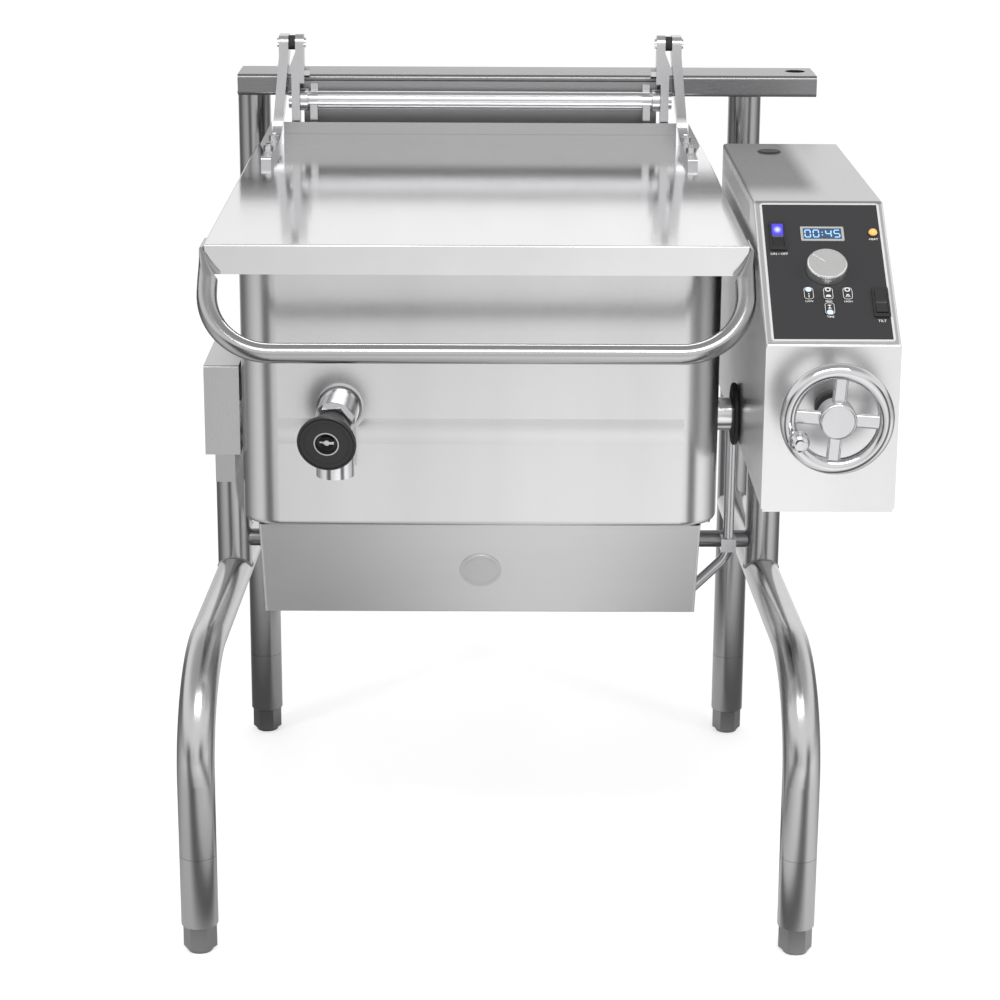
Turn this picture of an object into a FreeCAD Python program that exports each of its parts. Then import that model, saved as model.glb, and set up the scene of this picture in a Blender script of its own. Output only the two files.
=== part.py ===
import FreeCAD, Part
import math
import os

V = FreeCAD.Vector
os.makedirs("parts", exist_ok=True)

# Frame tubing
tube_r = 25.4
tube_wall = 1.65
foot_x_front = 408.0
foot_x_rear = 383.0
front_leg_y = 68.0
rear_post_y = 848.0
main_post_y = 505.0
rail_z = 399.0
leg_bend_r = 150.0
front_seam_z = 142.0
rear_seam_z = 136.0
post_cap_t = 3.0
arm_x_in = 351.0
arm_x_out = 377.0
arm_front_y = 125.0
arm_height = 45.0
arm_wall = 3.0
arm_top_z = 697.5
brace_r = 12.7
brace_z = 449.0
conduit_r = 8.0
conduit_wall = 1.4
conduit_x = 341.0
conduit_y = 480.0
conduit_z0 = 432.0
conduit_z1 = 372.0
conduit_end_x = 180.0
conduit_bend = 40.0
conduit_low_run = 61.0
conduit_flat_run = 121.0
clip_half_w = 11.0
clip_half_h = 10.0
cap_z = arm_top_z
post_seat = 6.0

# Adjustable feet
sleeve_edge = 2.0
pad_taper = 2.0
sleeve_bottom_z = 38.0
hex_flats = 40.0
hex_bottom_z = 5.0
pad_r = 17.0
stem_len = 70.0
stem_gap = 0.06
seam_gap = 0.4

# Crossbar behind the lid
bar_x0 = -405.0
bar_x1 = 490.0
bar_y0 = 806.0
bar_y1 = 906.0
bar_z0 = 1067.0
bar_z1 = 1100.0
bar_wall = 3.0
bar_round = 6.0
tap_hole_r = 15.5
tap_hole_x = 462.0
tap_hole_y = 862.0

# Console
con_x0 = 318.5
con_x1 = 482.0
con_y0 = -140.0
con_y1 = 492.0
con_slope_y = 57.0
con_z0 = 701.5
con_z1 = 908.0
con_z2 = 1047.0
sheet_t = 2.0
floor_t = 4.0
con_bend = 4.0
louvre_w = 5.0
louvre_pitch = 12.5
louvre_z0 = 1008.0
louvre_z1 = 1034.0
louvre_first_y = 100.0
louvre_count = 30
plug_x = 377.0
plug_y = 424.0
plug_r = 14.0
plug_rim = 3.0

# Control panel, measured on the sloping face from its lower left corner
face_angle = math.degrees(math.atan2(con_z2 - con_z1, con_slope_y - con_y0))
over_u0 = 7.0
over_u1 = 157.0
over_v0 = 6.0
over_v1 = 236.0
over_t = 1.2
over_round = 5.0
switch_u = 26.0
switch_v = 178.0
switch_w = 20.0
switch_h = 48.0
tilt_u = 144.5
tilt_v = 68.0
bezel_t = 2.5
rocker_gap = 0.5
rocker_w = 14.0
rocker_h = 36.0
rocker_lift = 3.6
rocker_dip = 1.6
rocker_belly_r = 4.2
rocker_axis_h = 0.2
rocker_lean = 6.0
disp_u = 82.0
disp_v = 182.5
disp_w = 54.0
disp_h = 24.0
disp_t = 1.0
lamp_u = 145.3
lamp_v = 184.5
lamp_r = 5.5
lamp_h = 4.0
knob_u = 82.0
knob_v = 121.0
knob_r = 24.0
knob_h = 14.0
knob_gap = 0.6
spindle_r = 3.0
spindle_len = 16.0
pad_spots = [(57.4, 82.5), (81.2, 82.5), (105.0, 82.5), (81.2, 57.7)]
pad_w = 12.0
pad_h = 20.0
pad_t = 0.8

# Edges and small parts of the console
plug_taper = 0.5
plug_h = 2.0
bezel_round = 2.0
pad_round = 3.0

# Holes for the switches and the knob's bush
switch_hole_w = 16.0
switch_hole_h = 38.0
switch_sleeve_gap = 0.1
behind_face = 6.0
bush_wall_t = 2.0
bush_len_inside = 9.0
bush_nut_flats = 14.0
knob_taper = 0.8
knob_edge = 1.0
mark_half_w = 0.5
mark_start = 3.0
mark_end_gap = 2.0
mark_turn = 51.0
lamp_base_edge = 1.2
lamp_base_h = 1.0
lamp_sink = 0.4

# Tilt axis and trunnions
tilt_y = 178.0
tilt_z = 734.0
shaft_r = 22.15
shaft_bore_r = 15.0
fit_gap = 0.05
flange_r = 45.0
flange_t = 4.0
ring_r = 42.0
ring_x0 = 310.5
ring_x1 = 317.5
side_hole_r = 24.0
block_w = 26.0
block_half_y = 32.0

# Left trunnion housing
hous_x0 = -387.0
hous_x1 = -341.0
hous_y0 = 100.0
hous_y1 = 262.0
hous_z0 = arm_top_z
hous_z1 = 818.0

bearing_gap_left = 6.0
bearing_gap_right = 7.0
hous_bend = 3.0

# Worm drive
stand_half_w = 30.0
stand_foot_len = 30.0
stand_foot_t = 8.0
bearing_right_x0 = 330.0
tooth_root = 1.25
tooth_tip = 0.85
pressure_angle = 20.0
worm_end = 5.0
sleeve_wall = 2.95
sleeve_len = 20.0
bush_edge_r = 2.5
ring_edge_r = 3.0
shaft_end_gap = 5.0
module = 2.5
wheel_teeth = 65
wheel_r = module * wheel_teeth / 2.0
worm_r = 17.75
worm_x = 399.0
worm_z = tilt_z + wheel_r + worm_r
wheel_w = 16.0
hub_r = 30.0
hub_w = 26.0
sector_a0 = -8.0
sector_a1 = 98.0
tooth_half = 0.34 * module * math.pi / 2.0
worm_turns = 6
worm_shaft_r = 9.0
worm_front_y = -186.0
worm_rear_y = 284.0
stand_y0 = 268.0
stand_t = 8.0
bush_r = 20.0
bush_t = 12.0

# Handwheel
wheel_y = -200.0
rim_r = 58.5
rim_tube_r = 9.8
hand_hub_r = 22.5
hand_hub_y0 = -214.0
hand_hub_y1 = -184.0
spoke_w = 17.0
spoke_t = 9.0
grip_angle = 202.0
grip_ring_r = 52.0
grip_pin_r = 4.0
grip_len = 34.0
grip_r = 12.5
grip_cap_t = 2.0
grip_slack = 3.0
grip_front_y = wheel_y - rim_tube_r - grip_len - grip_slack - grip_cap_t

hub_edge_r = 4.0
spoke_edge_r = 3.5
spoke_overlap = 4.0
spoke_count = 4
spoke_turn = 4.0
wheel_socket = 60.0
grip_play = 0.08
pin_boss_r = 8.0
pin_boss_h = 5.0
grip_cap_r = 5.5
grip_neck_r = 7.5
grip_collar_r = 9.0
grip_collar_at = 3.0
grip_waist_r = 10.6
grip_waist_at = 8.0
grip_wide_at = 18.0
grip_slim_r = 12.0
grip_slim_at = 26.0
grip_end_r = 9.5
grip_end_round = 2.0
grip_tip_r = 7.0
pin_seat = 3.0

# Pan
pan_x0 = -336.0
pan_x1 = 284.0
pan_y0 = 38.0
pan_y1 = 738.0
pan_z0 = 619.0
rim_z0 = 955.0
rim_z1 = 961.5
corner_r = 50.0
pan_bend = 8.0
jacket_t = 2.0
vessel_inset = 12.0
vessel_t = 3.0
vessel_floor_z = 700.0
clad_t = 16.0
bead_z = 748.0
bead_h = 34.0
bead_d = 1.6
bead_x0 = -286.0
bead_x1 = 236.0

# Firebox
fire_x0 = -314.0
fire_x1 = 262.0
fire_top_y0 = 46.0
fire_bot_y0 = 112.0
fire_y1 = 690.0
fire_z0 = 475.0
port_x = -25.0
port_z = 546.0
port_r = 27.5
port_t = 1.5

fire_bend = 4.0
port_edge = 0.6
port_groove_r = 4.0
port_groove_w = 1.2
port_groove_depth = 0.4
tab_nut_flats = 13.0
tab_nut_out = 8.0
tab_nut_h = 7.0
tab_nut_front_y = 86.0
tab_nut_rear_y = 640.0
clad_inset = 8.0
vessel_bend = 12.0
rim_edge_r = 2.0

# Lid
lid_edge_r = 2.5
lid_x0 = -372.0
lid_x1 = 311.0
lid_y1 = 757.0
lid_z1 = 1000.0
lid_z0 = 962.0
lid_t = 2.0
stiff_t = 2.5
stiff_z1 = 1034.0
stiff_step_z = 1016.0
stiff_end_gap = 4.0
gusset_t = 4.0
gusset_gap = 0.2
gusset_in = 4.0
gusset_low = 8.0

# Lid hinge, measured outwards from the lid's middle where a value is an offset
lid_mid_x = -30.0
pin_y = 778.0
pin_z = 1153.0
pin_r = 6.0
pin_head_r = 7.5
pin_head_t = 3.0
pin_gap = 0.3
link_in = 269.0
link_t = 13.0
link_r = 13.0
link_seat = 39.0
link_slope_z0 = 6.0
link_slope_z1 = 26.0
link_foot_out = 290.0
tongue_len = 22.0
tongue_nut_drop = 7.0
post_in = 276.0
post_t = 12.5
post_y0 = 764.0
post_y1 = 792.0
post_low_z = 866.0
post_step_z = 948.0
post_foot_w = 14.0
post_foot_t = 5.0
bush_len = 9.5
bush_wall = 5.0
lid_arm_t = 14.5
lid_arm_y0 = 758.0
lid_arm_y1 = 802.0
lid_arm_over = 12.0
lid_arm_foot_mid = 311.5
lid_arm_foot_h = 13.0
lid_arm_foot_y = 562.0
lid_arm_lean_end = 18.0
lid_arm_bend = 30.0
lid_arm_round = 11.0
lid_arm_heel_z = 1046.0
lid_bolt_y = (606.0, 700.0)
bolt_flats = 13.0
bolt_head_h = 7.5
bolt_r = 4.0
bolt_end = 3.5
washer_r = 7.2
washer_t = 1.6
nut_h = 8.0
spring_tube_r = 13.5
spring_tube_bore = 9.0
spring_tube_z = 1065.0
spring_tube_y = 781.0
spring_end = 293.5
flute_r = 1.6
flute_count = 10
collar_r = 17.0
collar_w = 12.8
collar_out = 276.0
strut_at = 255.0
strut_t = 11.0
strut_w = 12.0
strut_low_z = 900.0
back_plate_y = 799.0
back_plate_t = 2.0
back_plate_half = 272.0
back_plate_z0 = 985.0
back_plate_z1 = 1091.0

# Lid handle
grab_r = 12.7
grab_x0 = -365.0
grab_x1 = 304.0
grab_bend = 82.0
grab_top_y = -4.0
grab_top_z = 976.0
grab_front_y = -80.0
grab_front_z = 881.0
tab_t = 4.6
tab_h = 34.0
tab_back_y = 70.0
tab_front_y = -1.0
tab_z = 980.0
grab_neck = 0.18

rivet_r = 5.0
rivet_h = 1.2
rivet_edge = 0.5
rivet_front = 40.0
rivet_rear = 14.0
tab_cut = 20.0
foot_nut_less = 3.0

# Draw off valve, measured along its own axis from the pan's wall
valve_base = (-206.0, 38.0, 781.0)
valve_dir = (-0.105, -0.955, -0.2)
valve_r = 26.0
valve_ring = 3.0
valve_ring_t = 7.0
valve_len = 40.0
bonnet_flats = 42.0
bonnet_len = 9.0
knob_space = 1.0
valve_knob_len = 54.0
valve_knob_r0 = 19.0
valve_knob_r = 37.5
valve_knob_rim = 5.0
groove_r = 33.5
groove_w = 1.4
hub_hole_r = 14.5
hub_hole_depth = 6.0
stem_r = 5.0
stem_in = 16.0
screw_r = 9.0
screw_t = 3.0
screw_slot = 2.0
spout_x = -211.0
spout_y = 12.5
spout_z0 = 697.0
bead_gap = 9.0
spout_r = 24.5
spout_bore_r = 19.0
spout_depth = 50.0
scoop_gap = 1.0


def box(x0, x1, y0, y1, z0, z1):
    """A block between these faces."""
    return Part.makeBox(x1 - x0, y1 - y0, z1 - z0, V(x0, y0, z0))


def cyl(r, start, axis, length):
    """A round bar from a start, along an axis."""
    return Part.makeCylinder(r, length, V(*start), V(*axis))


def plate_x(points, x0, x1):
    """A plate drawn in y and z, and given its thickness along x."""
    wire = Part.makePolygon([V(x0, y, z) for y, z in points + points[:1]])
    return Part.Face(wire).extrude(V(x1 - x0, 0, 0))


def plate_y(points, y0, y1):
    """A plate drawn in x and z, and given its thickness along y."""
    wire = Part.makePolygon([V(x, y0, z) for x, z in points + points[:1]])
    return Part.Face(wire).extrude(V(0, y1 - y0, 0))


def rounded(x0, x1, y0, y1, z0, z1, r):
    """A block whose upright edges are rounded."""
    body = box(x0, x1, y0, y1, z0, z1)
    uprights = [e for e in body.Edges if abs(e.tangentAt(0).z) > 0.9]
    return body.makeFillet(r, uprights)


def sweep(path, r):
    """A round bar that follows a path."""
    start = path.Edges[0]
    at = start.valueAt(start.FirstParameter)
    along = start.tangentAt(start.FirstParameter)
    ring = Part.Wire(Part.makeCircle(r, at, along))
    return path.makePipeShell([ring], True, True)


def bent_path(points, r):
    """A line through these points with a bend of radius r at each inner one."""
    verts = [V(*p) for p in points]
    edges = []
    last = verts[0]
    for i in range(1, len(verts) - 1):
        a = (verts[i - 1] - verts[i]).normalize()
        b = (verts[i + 1] - verts[i]).normalize()
        half = a.getAngle(b) / 2.0
        cut = r / math.tan(half)
        p = verts[i] + a * cut
        q = verts[i] + b * cut
        centre = verts[i] + (a + b).normalize() * (r / math.sin(half))
        mid = centre + (verts[i] - centre).normalize() * r
        if (p - last).Length > 0.01:
            edges.append(Part.makeLine(last, p))
        edges.append(Part.Arc(p, mid, q).toShape())
        last = q
    edges.append(Part.makeLine(last, verts[-1]))
    return Part.Wire(edges)


def mirrored(shape, x=0.0):
    """The same shape on the other side."""
    return shape.mirror(V(x, 0, 0), V(1, 0, 0))


def hexagon(flats, centre, axis, height):
    """A hexagon bar, sized across its flats."""
    r = flats / math.sqrt(3.0)
    points = [V(r * math.cos(k * math.pi / 3), r * math.sin(k * math.pi / 3), 0) for k in range(7)]
    prism = Part.Face(Part.makePolygon(points)).extrude(V(0, 0, height))
    turn = FreeCAD.Rotation(V(0, 0, 1), V(*axis))
    prism.Placement = FreeCAD.Placement(V(*centre), turn)
    return prism


def on_face(shape):
    """A shape drawn on the panel's plane, moved to the sloping face of the console."""
    turn = FreeCAD.Rotation(V(1, 0, 0), face_angle)
    place = FreeCAD.Placement(V(con_x0, con_y0, con_z1), turn)
    moved = shape.copy()
    moved.Placement = place.multiply(moved.Placement)
    return moved


def side_x(y):
    """How far out the side frame stands at this depth, since the frames close towards the rear."""
    share = (y - front_leg_y) / (rear_post_y - front_leg_y)
    return foot_x_front + share * (foot_x_rear - foot_x_front)


def leg_wire():
    """The middle line of a front leg and of the rail it runs into."""
    return bent_path([(foot_x_front, front_leg_y, front_seam_z),
                      (foot_x_front, front_leg_y, rail_z),
                      (foot_x_rear, rear_post_y, rail_z)], leg_bend_r)


def front_leg():
    """A front leg and side rail, bent from one tube."""
    outer = sweep(leg_wire(), tube_r)
    inner = sweep(leg_wire(), tube_r - tube_wall)
    stop = cyl(tube_r, (foot_x_rear, rear_post_y, 0), (0, 0, 1), bar_z0)
    return outer.cut(inner).cut(stop)


def rail_solid(r):
    """The bar that fills a front leg and rail out to radius r."""
    a = V(foot_x_front, front_leg_y, rail_z)
    b = V(foot_x_rear, rear_post_y, rail_z)
    return Part.makeCylinder(r, (b - a).Length, a, b - a)


def main_post():
    """The post that carries a trunnion, cut to sit on the rail."""
    x = side_x(main_post_y)
    z0 = rail_z + post_seat
    height = cap_z - post_cap_t - z0
    post = cyl(tube_r, (x, main_post_y, z0), (0, 0, 1), height)
    post = post.cut(cyl(tube_r - tube_wall, (x, main_post_y, z0), (0, 0, 1), height))
    cap = cyl(tube_r, (x, main_post_y, z0 + height), (0, 0, 1), post_cap_t)
    return post.fuse(cap).cut(rail_solid(tube_r)).removeSplitter()


def rear_post():
    """The tall post that carries the crossbar."""
    start = (foot_x_rear, rear_post_y, rear_seam_z)
    height = bar_z0 - rear_seam_z
    return cyl(tube_r, start, (0, 0, 1), height).cut(cyl(tube_r - tube_wall, start, (0, 0, 1), height))


def trunnion_arm():
    """A box tube that runs forward from the main post, under the trunnion."""
    back = main_post_y
    outer = box(arm_x_in, arm_x_out, arm_front_y, back, arm_top_z - arm_height, arm_top_z)
    inner = box(arm_x_in + arm_wall, arm_x_out - arm_wall, arm_front_y + arm_wall, back,
                arm_top_z - arm_height + arm_wall, arm_top_z - arm_wall)
    post = cyl(tube_r, (side_x(main_post_y), main_post_y, 0), (0, 0, 1), cap_z + 10)
    return outer.cut(inner).cut(post)


def cross_brace():
    """The thin tube between the two main posts."""
    x = side_x(main_post_y)
    bar = cyl(brace_r, (-x, main_post_y, brace_z), (1, 0, 0), 2 * x)
    bar = bar.cut(cyl(brace_r - tube_wall, (-x, main_post_y, brace_z), (1, 0, 0), 2 * x))
    for s in (-1, 1):
        bar = bar.cut(cyl(tube_r, (s * x, main_post_y, 0), (0, 0, 1), cap_z))
    return bar


def crossbar():
    """The flat box tube behind the lid, with the hole for a fill tap."""
    outer = box(bar_x0, bar_x1, bar_y0, bar_y1, bar_z0, bar_z1)
    along = [e for e in outer.Edges if abs(e.tangentAt(0).x) > 0.9]
    outer = outer.makeFillet(bar_round, along)
    inner = box(bar_x0 + bar_wall, bar_x1 - bar_wall, bar_y0 + bar_wall, bar_y1 - bar_wall,
                bar_z0 + bar_wall, bar_z1 - bar_wall)
    hole = cyl(tap_hole_r, (tap_hole_x, tap_hole_y, bar_z0 - 1), (0, 0, 1), bar_z1 - bar_z0 + 2)
    return outer.cut(inner).cut(hole)


def foot(x, y, seam):
    """An adjustable foot: its sleeve, the stem inside the leg, and the hexagon end."""
    top = seam - seam_gap
    sleeve = cyl(tube_r, (x, y, sleeve_bottom_z), (0, 0, 1), top - sleeve_bottom_z)
    low = [e for e in sleeve.Edges if abs(e.BoundBox.ZMax - sleeve_bottom_z) < 0.01]
    sleeve = sleeve.makeChamfer(sleeve_edge, low)
    stem = cyl(tube_r - tube_wall - stem_gap, (x, y, top - 1), (0, 0, 1), stem_len + 1)
    nut = foot_nut(x, y)
    return sleeve.fuse(stem).fuse(nut).removeSplitter()


def foot_nut(x, y):
    """The hexagon end of a foot and the pad below it."""
    nut = hexagon(hex_flats, (x, y, hex_bottom_z), (0, 0, 1), sleeve_bottom_z - hex_bottom_z)
    pad = Part.makeCone(pad_r, pad_r + pad_taper, hex_bottom_z, V(x, y, 0))
    return nut.fuse(pad)


def console_profile(inset):
    """The console's outline from the side, moved inwards by an inset."""
    tilt = math.radians(face_angle)
    grow = inset * math.tan((math.pi / 2 - tilt) / 2)
    drop = inset * math.tan(tilt / 2)
    return [(con_y0 + inset, con_z0), (con_y0 + inset, con_z1 - grow),
            (con_slope_y + drop, con_z2 - inset), (con_y1, con_z2 - inset), (con_y1, con_z0)]


def switch_hole(u, v, z0, z1):
    """The space that a switch takes through the panel."""
    half_w = switch_hole_w / 2
    half_h = switch_hole_h / 2
    return box(u - half_w, u + half_w, v - half_h, v + half_h, z0, z1)


def console_shell():
    """The folded case of the console, with its holes and slots."""
    outer = plate_x(console_profile(0.0), con_x0, con_x1)
    bends = []
    for e in outer.Edges:
        b = e.BoundBox
        if b.XLength > 1 and b.ZMin > con_z0 + 1 and b.YMin < con_y1 - 1:
            bends.append(e)
        if b.XLength < 0.01 and b.ZMax > con_z1 - 1 and b.YMin < con_y1 - 1 and b.YLength > 1:
            bends.append(e)
    outer = outer.makeFillet(con_bend, bends)
    inner = plate_x(console_profile(sheet_t), con_x0 + sheet_t, con_x1 - sheet_t)
    shell = outer.cut(inner)
    cuts = [cyl(side_hole_r, (con_x0 - 1, tilt_y, tilt_z), (1, 0, 0), sheet_t + 2),
            cyl(worm_shaft_r + 3, (worm_x, con_y0 - 1, worm_z), (0, 1, 0), sheet_t + 2),
            cyl(plug_r, (plug_x, plug_y, con_z2 - sheet_t - 1), (0, 0, 1), sheet_t + 2)]
    for k in range(louvre_count):
        y = louvre_first_y + k * louvre_pitch
        cuts.append(box(con_x0 - 1, con_x0 + sheet_t + 1, y, y + louvre_w, louvre_z0, louvre_z1))
    for u, v in ((switch_u, switch_v), (tilt_u, tilt_v)):
        cuts.append(on_face(switch_hole(u, v, -behind_face, 3)))
    cuts.append(on_face(cyl(spindle_r + bush_wall_t, (knob_u, knob_v, -behind_face), (0, 0, 1), 9)))
    return shell.cut(Part.makeCompound(cuts))


def console_floor():
    """The plate that closes the console from below."""
    return box(con_x0 + sheet_t, con_x1 - sheet_t, con_y0 + sheet_t, con_y1 - 1,
               con_z0 - floor_t, con_z0)


def console_back():
    """The plate that closes the console from behind."""
    return box(con_x0 + sheet_t + 0.3, con_x1 - sheet_t - 0.3, con_y1 - sheet_t, con_y1,
               con_z0, con_z2 - sheet_t - 0.3)


def hole_plug():
    """The rubber plug in the console's top."""
    stem = cyl(plug_r - 0.2, (plug_x, plug_y, con_z2 - 6), (0, 0, 1), 6)
    cap = Part.makeCone(plug_r + plug_rim, plug_r + plug_taper, plug_h, V(plug_x, plug_y, con_z2))
    return stem.fuse(cap)


def overlay():
    """The film on the sloping face, with its holes."""
    plate = rounded(over_u0, over_u1, over_v0, over_v1, 0, over_t, over_round)
    cuts = []
    for u, v in ((switch_u, switch_v), (tilt_u, tilt_v)):
        cuts.append(switch_hole(u, v, -1, 3))
    cuts.append(cyl(spindle_r + bush_wall_t, (knob_u, knob_v, -1), (0, 0, 1), 4))
    return on_face(plate.cut(Part.makeCompound(cuts)))


def bezel(u, v):
    """The frame of a switch and the sleeve behind it."""
    z0 = over_t
    outer = rounded(u - switch_w / 2, u + switch_w / 2, v - switch_h / 2, v + switch_h / 2,
                    z0, z0 + bezel_t, bezel_round)
    hole = box(u - rocker_w / 2 - rocker_gap, u + rocker_w / 2 + rocker_gap,
               v - rocker_h / 2 - rocker_gap, v + rocker_h / 2 + rocker_gap, -9, 9)
    half_w = switch_hole_w / 2 - switch_sleeve_gap
    half_h = switch_hole_h / 2 - switch_sleeve_gap
    sleeve = box(u - half_w, u + half_w, v - half_h, v + half_h, -behind_face, z0)
    return on_face(outer.fuse(sleeve).cut(hole))


def rocker(u, v, lean):
    """A switch's rocker, leaned by its angle at rest."""
    half = rocker_h / 2 - rocker_gap
    top = over_t + rocker_lift
    points = [(-half, top - 3 * rocker_dip), (-half, top), (0, top - rocker_dip), (half, top),
              (half, top - 3 * rocker_dip), (0, -rocker_belly_r)]
    body = plate_x(points, -rocker_w / 2, rocker_w / 2)
    axis = (-rocker_w / 2, 0, rocker_axis_h)
    body = body.fuse(cyl(rocker_belly_r, axis, (1, 0, 0), rocker_w)).removeSplitter()
    body.rotate(V(*axis), V(1, 0, 0), lean)
    body.translate(V(u, v, 0))
    return on_face(body)


def display():
    """The raised window of the display."""
    frame = rounded(disp_u - disp_w / 2, disp_u + disp_w / 2, disp_v - disp_h / 2, disp_v + disp_h / 2,
                    over_t, over_t + disp_t, 1.5)
    return on_face(frame)


def lamp():
    """The heat lamp's base and dome."""
    base = cyl(lamp_r + lamp_base_edge, (lamp_u, lamp_v, over_t), (0, 0, 1), lamp_base_h)
    dome = Part.makeSphere(lamp_r, V(lamp_u, lamp_v, over_t + lamp_sink))
    dome = dome.common(cyl(lamp_r + 1, (lamp_u, lamp_v, over_t), (0, 0, 1), lamp_h + 2))
    return on_face(base.fuse(dome))


def mode_pads():
    """The four raised pads under the knob."""
    pads = []
    for u, v in pad_spots:
        pads.append(rounded(u - pad_w / 2, u + pad_w / 2, v - pad_h / 2, v + pad_h / 2,
                            over_t, over_t + pad_t, pad_round))
    return on_face(Part.makeCompound(pads))


def temp_knob():
    """The temperature knob with its mark and its spindle."""
    z0 = over_t + knob_gap
    body = Part.makeCone(knob_r + knob_taper, knob_r, knob_h - knob_edge, V(knob_u, knob_v, z0))
    top = Part.makeCone(knob_r, knob_r - knob_edge, knob_edge, V(knob_u, knob_v, z0 + knob_h - knob_edge))
    mark = box(-mark_half_w, mark_half_w, mark_start, knob_r - mark_end_gap, knob_h - mark_half_w, knob_h + 1)
    mark.rotate(V(0, 0, 0), V(0, 0, 1), mark_turn)
    mark.translate(V(knob_u, knob_v, z0))
    spindle = cyl(spindle_r, (knob_u, knob_v, z0 - spindle_len), (0, 0, 1), spindle_len + 1)
    return on_face(body.fuse(top).fuse(spindle).cut(mark))


def knob_bush():
    """The threaded bush and nut that carry the knob's spindle."""
    end = (knob_u, knob_v, -bush_len_inside)
    bush = cyl(spindle_r + bush_wall_t, end, (0, 0, 1), bush_len_inside + over_t)
    nut = hexagon(bush_nut_flats, end, (0, 0, 1), bush_len_inside - sheet_t)
    hole = cyl(spindle_r + fit_gap, (knob_u, knob_v, -bush_len_inside - 1), (0, 0, 1), bush_len_inside + 5)
    return on_face(bush.fuse(nut).cut(hole))


def housing():
    """The cover over the left bearing."""
    outer = box(hous_x0, hous_x1, hous_y0, hous_y1, hous_z0, hous_z1)
    edges = [e for e in outer.Edges if e.BoundBox.XLength > 1 and e.BoundBox.ZMin > hous_z0 + 1]
    outer = outer.makeFillet(hous_bend, edges)
    inner = box(hous_x0 + sheet_t, hous_x1 - sheet_t, hous_y0 + sheet_t, hous_y1 - sheet_t,
                hous_z0 + sheet_t, hous_z1 - sheet_t)
    hole = cyl(side_hole_r, (hous_x1 - sheet_t - 1, tilt_y, tilt_z), (1, 0, 0), sheet_t + 2)
    return outer.cut(inner).cut(hole)


def bearing(x0, x1, z0):
    """A plain bearing block with its round top."""
    block = box(x0, x1, tilt_y - block_half_y, tilt_y + block_half_y, z0, tilt_z)
    crown = cyl(block_half_y, (x0, tilt_y, tilt_z), (1, 0, 0), x1 - x0)
    bore = cyl(shaft_r + fit_gap, (x0 - 1, tilt_y, tilt_z), (1, 0, 0), x1 - x0 + 2)
    return block.fuse(crown).cut(bore)


def worm_stand():
    """The bracket that carries the rear of the worm's shaft."""
    y1 = stand_y0 + stand_t
    x0 = worm_x - stand_half_w
    x1 = worm_x + stand_half_w
    plate = box(x0, x1, stand_y0, y1, con_z0, worm_z)
    crown = cyl(stand_half_w, (worm_x, stand_y0, worm_z), (0, 1, 0), stand_t)
    foot = box(x0, x1, stand_y0, y1 + stand_foot_len, con_z0, con_z0 + stand_foot_t)
    hole = cyl(worm_shaft_r + fit_gap, (worm_x, stand_y0 - 1, worm_z), (0, 1, 0), stand_t + 2)
    return plate.fuse(crown).fuse(foot).cut(hole)


def front_bush():
    """The flanged bush where the worm's shaft leaves the console."""
    flange = cyl(bush_r, (worm_x, con_y0 - bush_t, worm_z), (0, 1, 0), bush_t)
    edge = [e for e in flange.Edges if e.BoundBox.YLength < 0.1 and e.BoundBox.YMin < con_y0 - 1]
    flange = flange.makeFillet(bush_edge_r, edge)
    sleeve = cyl(worm_shaft_r + sleeve_wall, (worm_x, con_y0 - 1, worm_z), (0, 1, 0), sleeve_len)
    hole = cyl(worm_shaft_r + fit_gap, (worm_x, con_y0 - sleeve_len, worm_z), (0, 1, 0), 2 * sleeve_len)
    return flange.fuse(sleeve).cut(hole)


def conduit_path():
    """The conduit's middle line, from the console's floor to the cross brace."""
    y = conduit_y
    return bent_path([(conduit_x, y, con_z0 - floor_t), (conduit_x, y, conduit_z0),
                      (conduit_x - conduit_low_run, y, conduit_z1),
                      (conduit_x - conduit_flat_run, y, conduit_z1),
                      (conduit_end_x, y, brace_z)], conduit_bend)


def conduit():
    """The conduit and the two clips that hold it to the cross brace."""
    tube = sweep(conduit_path(), conduit_r)
    pieces = [tube.cut(sweep(conduit_path(), conduit_r - conduit_wall))]
    for x in (conduit_x, conduit_end_x):
        clip = box(x - clip_half_w, x + clip_half_w, conduit_y - clip_half_h, main_post_y,
                   brace_z - clip_half_h, brace_z + clip_half_h)
        start = x - 2 * clip_half_w
        clip = clip.cut(cyl(brace_r, (start, main_post_y, brace_z), (1, 0, 0), 4 * clip_half_w))
        pieces.append(clip.cut(tube))
    return Part.makeCompound(pieces)


def worm_wheel():
    """The toothed sector and its hub, on the right trunnion shaft."""
    x0 = worm_x - wheel_w / 2
    axis = (1, 0, 0)
    centre = (x0, tilt_y, tilt_z)
    hub = cyl(hub_r, (worm_x - hub_w / 2, tilt_y, tilt_z), axis, hub_w)
    root_r = wheel_r - tooth_root * module
    start = V(0, 0, 0)
    pie = Part.makeCylinder(root_r, wheel_w, V(0, 0, 0), V(0, 0, 1), sector_a1 - sector_a0)
    pie.rotate(start, V(0, 0, 1), sector_a0)
    pie = turn_to_tilt(pie, x0)
    pitch_angle = 360.0 / wheel_teeth
    lean = math.degrees(wheel_w / 2 * math.tan(math.atan2(module, 2 * worm_r)) / wheel_r)
    teeth = []
    first = math.ceil((sector_a0 + 2 - 90.0) / pitch_angle - 0.5)
    last = math.floor((sector_a1 - 2 - 90.0) / pitch_angle - 0.5)
    for k in range(first, last + 1):
        a = 90.0 + (k + 0.5) * pitch_angle
        teeth.append(turn_to_tilt(tooth(a, lean, root_r), x0))
    wheel = hub.fuse([pie] + teeth)
    bore = cyl(shaft_r + fit_gap, (worm_x - hub_w, tilt_y, tilt_z), axis, 2 * hub_w)
    return wheel.cut(bore).removeSplitter()


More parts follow.
